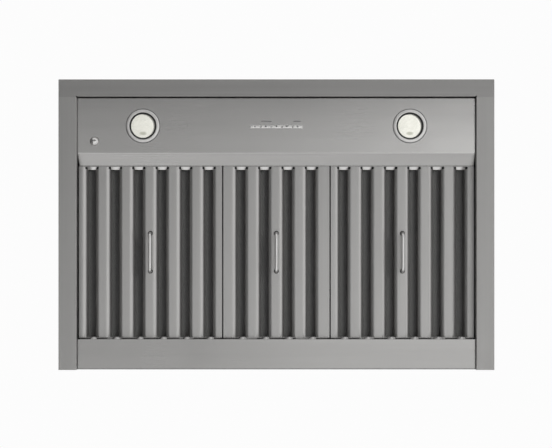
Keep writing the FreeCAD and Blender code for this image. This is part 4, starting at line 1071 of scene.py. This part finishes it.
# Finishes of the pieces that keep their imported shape

KEPT = {
    "galvanised": (
        "canopy_back_panel", "top_deck", "chimney_top_bracket", "blower_housing", "inlet_ring",
        "motor_plate", "impeller", "duct_collar", "damper_flap_front", "damper_flap_rear", "junction_box",
        "junction_cover",
    ),
    "polished": ("chimney_screws", "heat_sensor_nut", "filter_springs", "motor_shaft", "damper_rod"),
    "bezel": ("lamp_left_housing", "lamp_right_housing", "lamp_boards"),
    # Panel brackets take the dark enamel as painted shade in the gap beside the panel
    "enamel": ("blower_motor", "panel_brackets"),
    "rubber": ("lamp_seals", "cable_gland"),
    "white": ("control_housing", "lamp_driver", "capacitor", "terminal_block"),
    "dark": ("key_switches",),
    "window": ("indicator_windows",),
    "board": ("control_board",),
    "lead": ("wiring_harness",),
    "pad": ("filter_left_mesh", "filter_middle_mesh", "filter_right_mesh"),
}


def dress_kept_nodes():
    """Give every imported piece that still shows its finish."""
    for finish, nodes in KEPT.items():
        for node in nodes:
            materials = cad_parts[node].data.materials
            materials.clear()
            materials.append(FINISHES[finish])


# Stage, light and camera

FLOOR_LEVEL = -5.2
FLOOR_MIDDLE = 0.8
FADE_START = 3.4
FADE_END = 5.6
STAGE_GRID = 8
LEFT_FLAG = Vector((-2.6, -0.3, -1.9))
LEFT_FLAG_SIZE = (1.3, 2.6)
FRONT_FLAG = Vector((-0.7, -2.2, -4.6))
FRONT_FLAG_SIZE = (2.5, 1.2)
SURROUNDINGS = 0.975
SOFT_LIGHT = 0.15
MIDDLE = (0, -0.3, -0.2)
# Name, place, target, diameter and watts of each light, and the kind of ray that misses it
LIGHTS = (
    ("floor_light", (0, FLOOR_MIDDLE, -3.2), (0, FLOOR_MIDDLE, FLOOR_LEVEL), 9.0, 150, "glossy"),
    ("glow", (2.0, 0.9, -5.0), (2.0, 0.9, 0), 4.4, 22, "diffuse"),
    ("rear_glow", (-1.3, 2.1, -5.0), (-1.3, 2.1, 0), 3.2, 11, "diffuse"),
    ("key", (3.2, -1.8, -4.2), MIDDLE, 1.8, 285, "glossy"),
    ("fill", (-1.5, -3.4, 1.2), MIDDLE, 2.4, 12, None),
    ("top", (-0.6, -0.4, 3.2), MIDDLE, 4.0, 48, None),
)
CAMERA_DROP = 3.0
CAMERA_SHIFT_X = -0.0009
CAMERA_SHIFT_Y = -0.0013
LENS_LENGTH = 93.33


def stage_sheet(name, finish, matrix, half_x, half_y):
    """Flat sheet that isn't part of the hood."""
    bm = bmesh.new()
    bmesh.ops.create_grid(bm, x_segments=STAGE_GRID, y_segments=STAGE_GRID, size=1.0)
    bmesh.ops.scale(bm, vec=(half_x, half_y, 1), verts=bm.verts[:])
    bmesh.ops.transform(bm, matrix=matrix, verts=bm.verts[:])
    mesh = bpy.data.meshes.new(name)
    bm.to_mesh(mesh)
    bm.free()
    mesh.materials.append(finish)
    item = bpy.data.objects.new(name, mesh)
    bpy.context.scene.collection.objects.link(item)
    return item


def pale_floor():
    """Plain pale floor with a faint trowelled tone, fading out into the white surroundings."""
    finish = Finish("floor_paint", roughness=0.8)
    tone = finish.noise(even(0.6))
    finish.set("Base Color", finish.blend(tone, shade(0.78), shade(0.82)))
    across = finish.axis(0)
    along = finish.axis(1) - FLOOR_MIDDLE
    distance = across * across + along * along
    finish.set("Alpha", finish.span(distance, FADE_START ** 2, FADE_END ** 2, start=1.0, end=0.0))
    place = Matrix.Translation((0, FLOOR_MIDDLE, FLOOR_LEVEL))
    stage_sheet("floor", finish.material, place, FADE_END, FADE_END).visible_diffuse = False


def grey_flags():
    """Grey cards to the left and in front, seen only in reflections, which keep those sides darker."""
    finish = Finish("flag_cloth", roughness=0.9)
    tone = finish.noise(even(2))
    finish.set("Base Color", finish.blend(tone, shade(0.06), shade(0.08)))
    upright = Matrix.Translation(LEFT_FLAG) @ Matrix.Rotation(math.pi / 2, 4, "Y")
    level = Matrix.Translation(FRONT_FLAG)
    left = stage_sheet("left_flag", finish.material, upright, *LEFT_FLAG_SIZE)
    front = stage_sheet("front_flag", finish.material, level, *FRONT_FLAG_SIZE)
    for flag in (left, front):
        flag.visible_camera = False
        flag.visible_diffuse = False
        flag.visible_shadow = False


def studio_world():
    """White surroundings for the camera, metal and glass, and a fainter even light for the rest."""
    world = bpy.data.worlds.new("studio")
    world.use_nodes = True
    bpy.context.scene.world = world
    tree = Tree(world.node_tree)
    kinds = ("Camera", "Glossy", "Transmission")
    rays = [tree.node("ShaderNodeLightPath", output=f"Is {kind} Ray") for kind in kinds]
    soft = tree.node("ShaderNodeBackground", None, {"Color": shade(1.0), "Strength": SOFT_LIGHT})
    white = tree.node("ShaderNodeBackground", None, {"Color": shade(SURROUNDINGS), "Strength": 1.0})
    mixed = tree.node("ShaderNodeMixShader", None, {0: tree.largest(*rays), 1: soft, 2: white})
    tree.feed(world.node_tree.nodes["World Output"].inputs["Surface"], mixed)


def area_light(name, place, target, size, watts, missed_by):
    """Soft round lamp aimed at a point, not seen by the camera nor, if asked, by one more kind of ray."""
    lamp_data = bpy.data.lights.new(name, "AREA")
    lamp_data.shape = "DISK"
    lamp_data.size = size
    lamp_data.energy = watts
    item = bpy.data.objects.new(name, lamp_data)
    item.location = place
    item.rotation_euler = (Vector(target) - Vector(place)).to_track_quat("-Z", "Y").to_euler()
    item.visible_camera = False
    item.visible_glossy = missed_by != "glossy"
    item.visible_diffuse = missed_by != "diffuse"
    bpy.context.scene.collection.objects.link(item)


def studio_lights():
    """Even light on the floor, a soft glow in the metal, a key from the right and two faint fills."""
    for row in LIGHTS:
        area_light(*row)


def camera():
    """Camera straight below the middle of the hood, its top towards the front edge."""
    low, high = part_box("canopy_shell")
    data = bpy.data.cameras.new("camera")
    data.lens = LENS_LENGTH
    item = bpy.data.objects.new("camera", data)
    item.location = (CAMERA_SHIFT_X, (low.y + high.y) / 2 + CAMERA_SHIFT_Y, low.z - CAMERA_DROP)
    item.rotation_euler = (math.pi, 0, 0)
    bpy.context.scene.collection.objects.link(item)
    bpy.context.scene.camera = item


canopy()
control_panel()
rear_rail()
chimney_cover("lower_cover", "lower_chimney", "hood", SHEET)
chimney_cover("upper_cover", "upper_chimney", "chimney_slider", UPPER_WALL)
for one_side in FILTERS:
    filter_rim(one_side)
    baffle(one_side)
    slot_tabs(one_side)
    wire_mesh(one_side)
    handle(one_side)
for lamp_side in LAMPS:
    lamp(lamp_side)
for key_name in KEYS:
    key(key_name)
sensor_dome()
dress_kept_nodes()
pale_floor()
grey_flags()
studio_world()
studio_lights()
camera()
bpy.context.scene.view_settings.view_transform = "Standard"
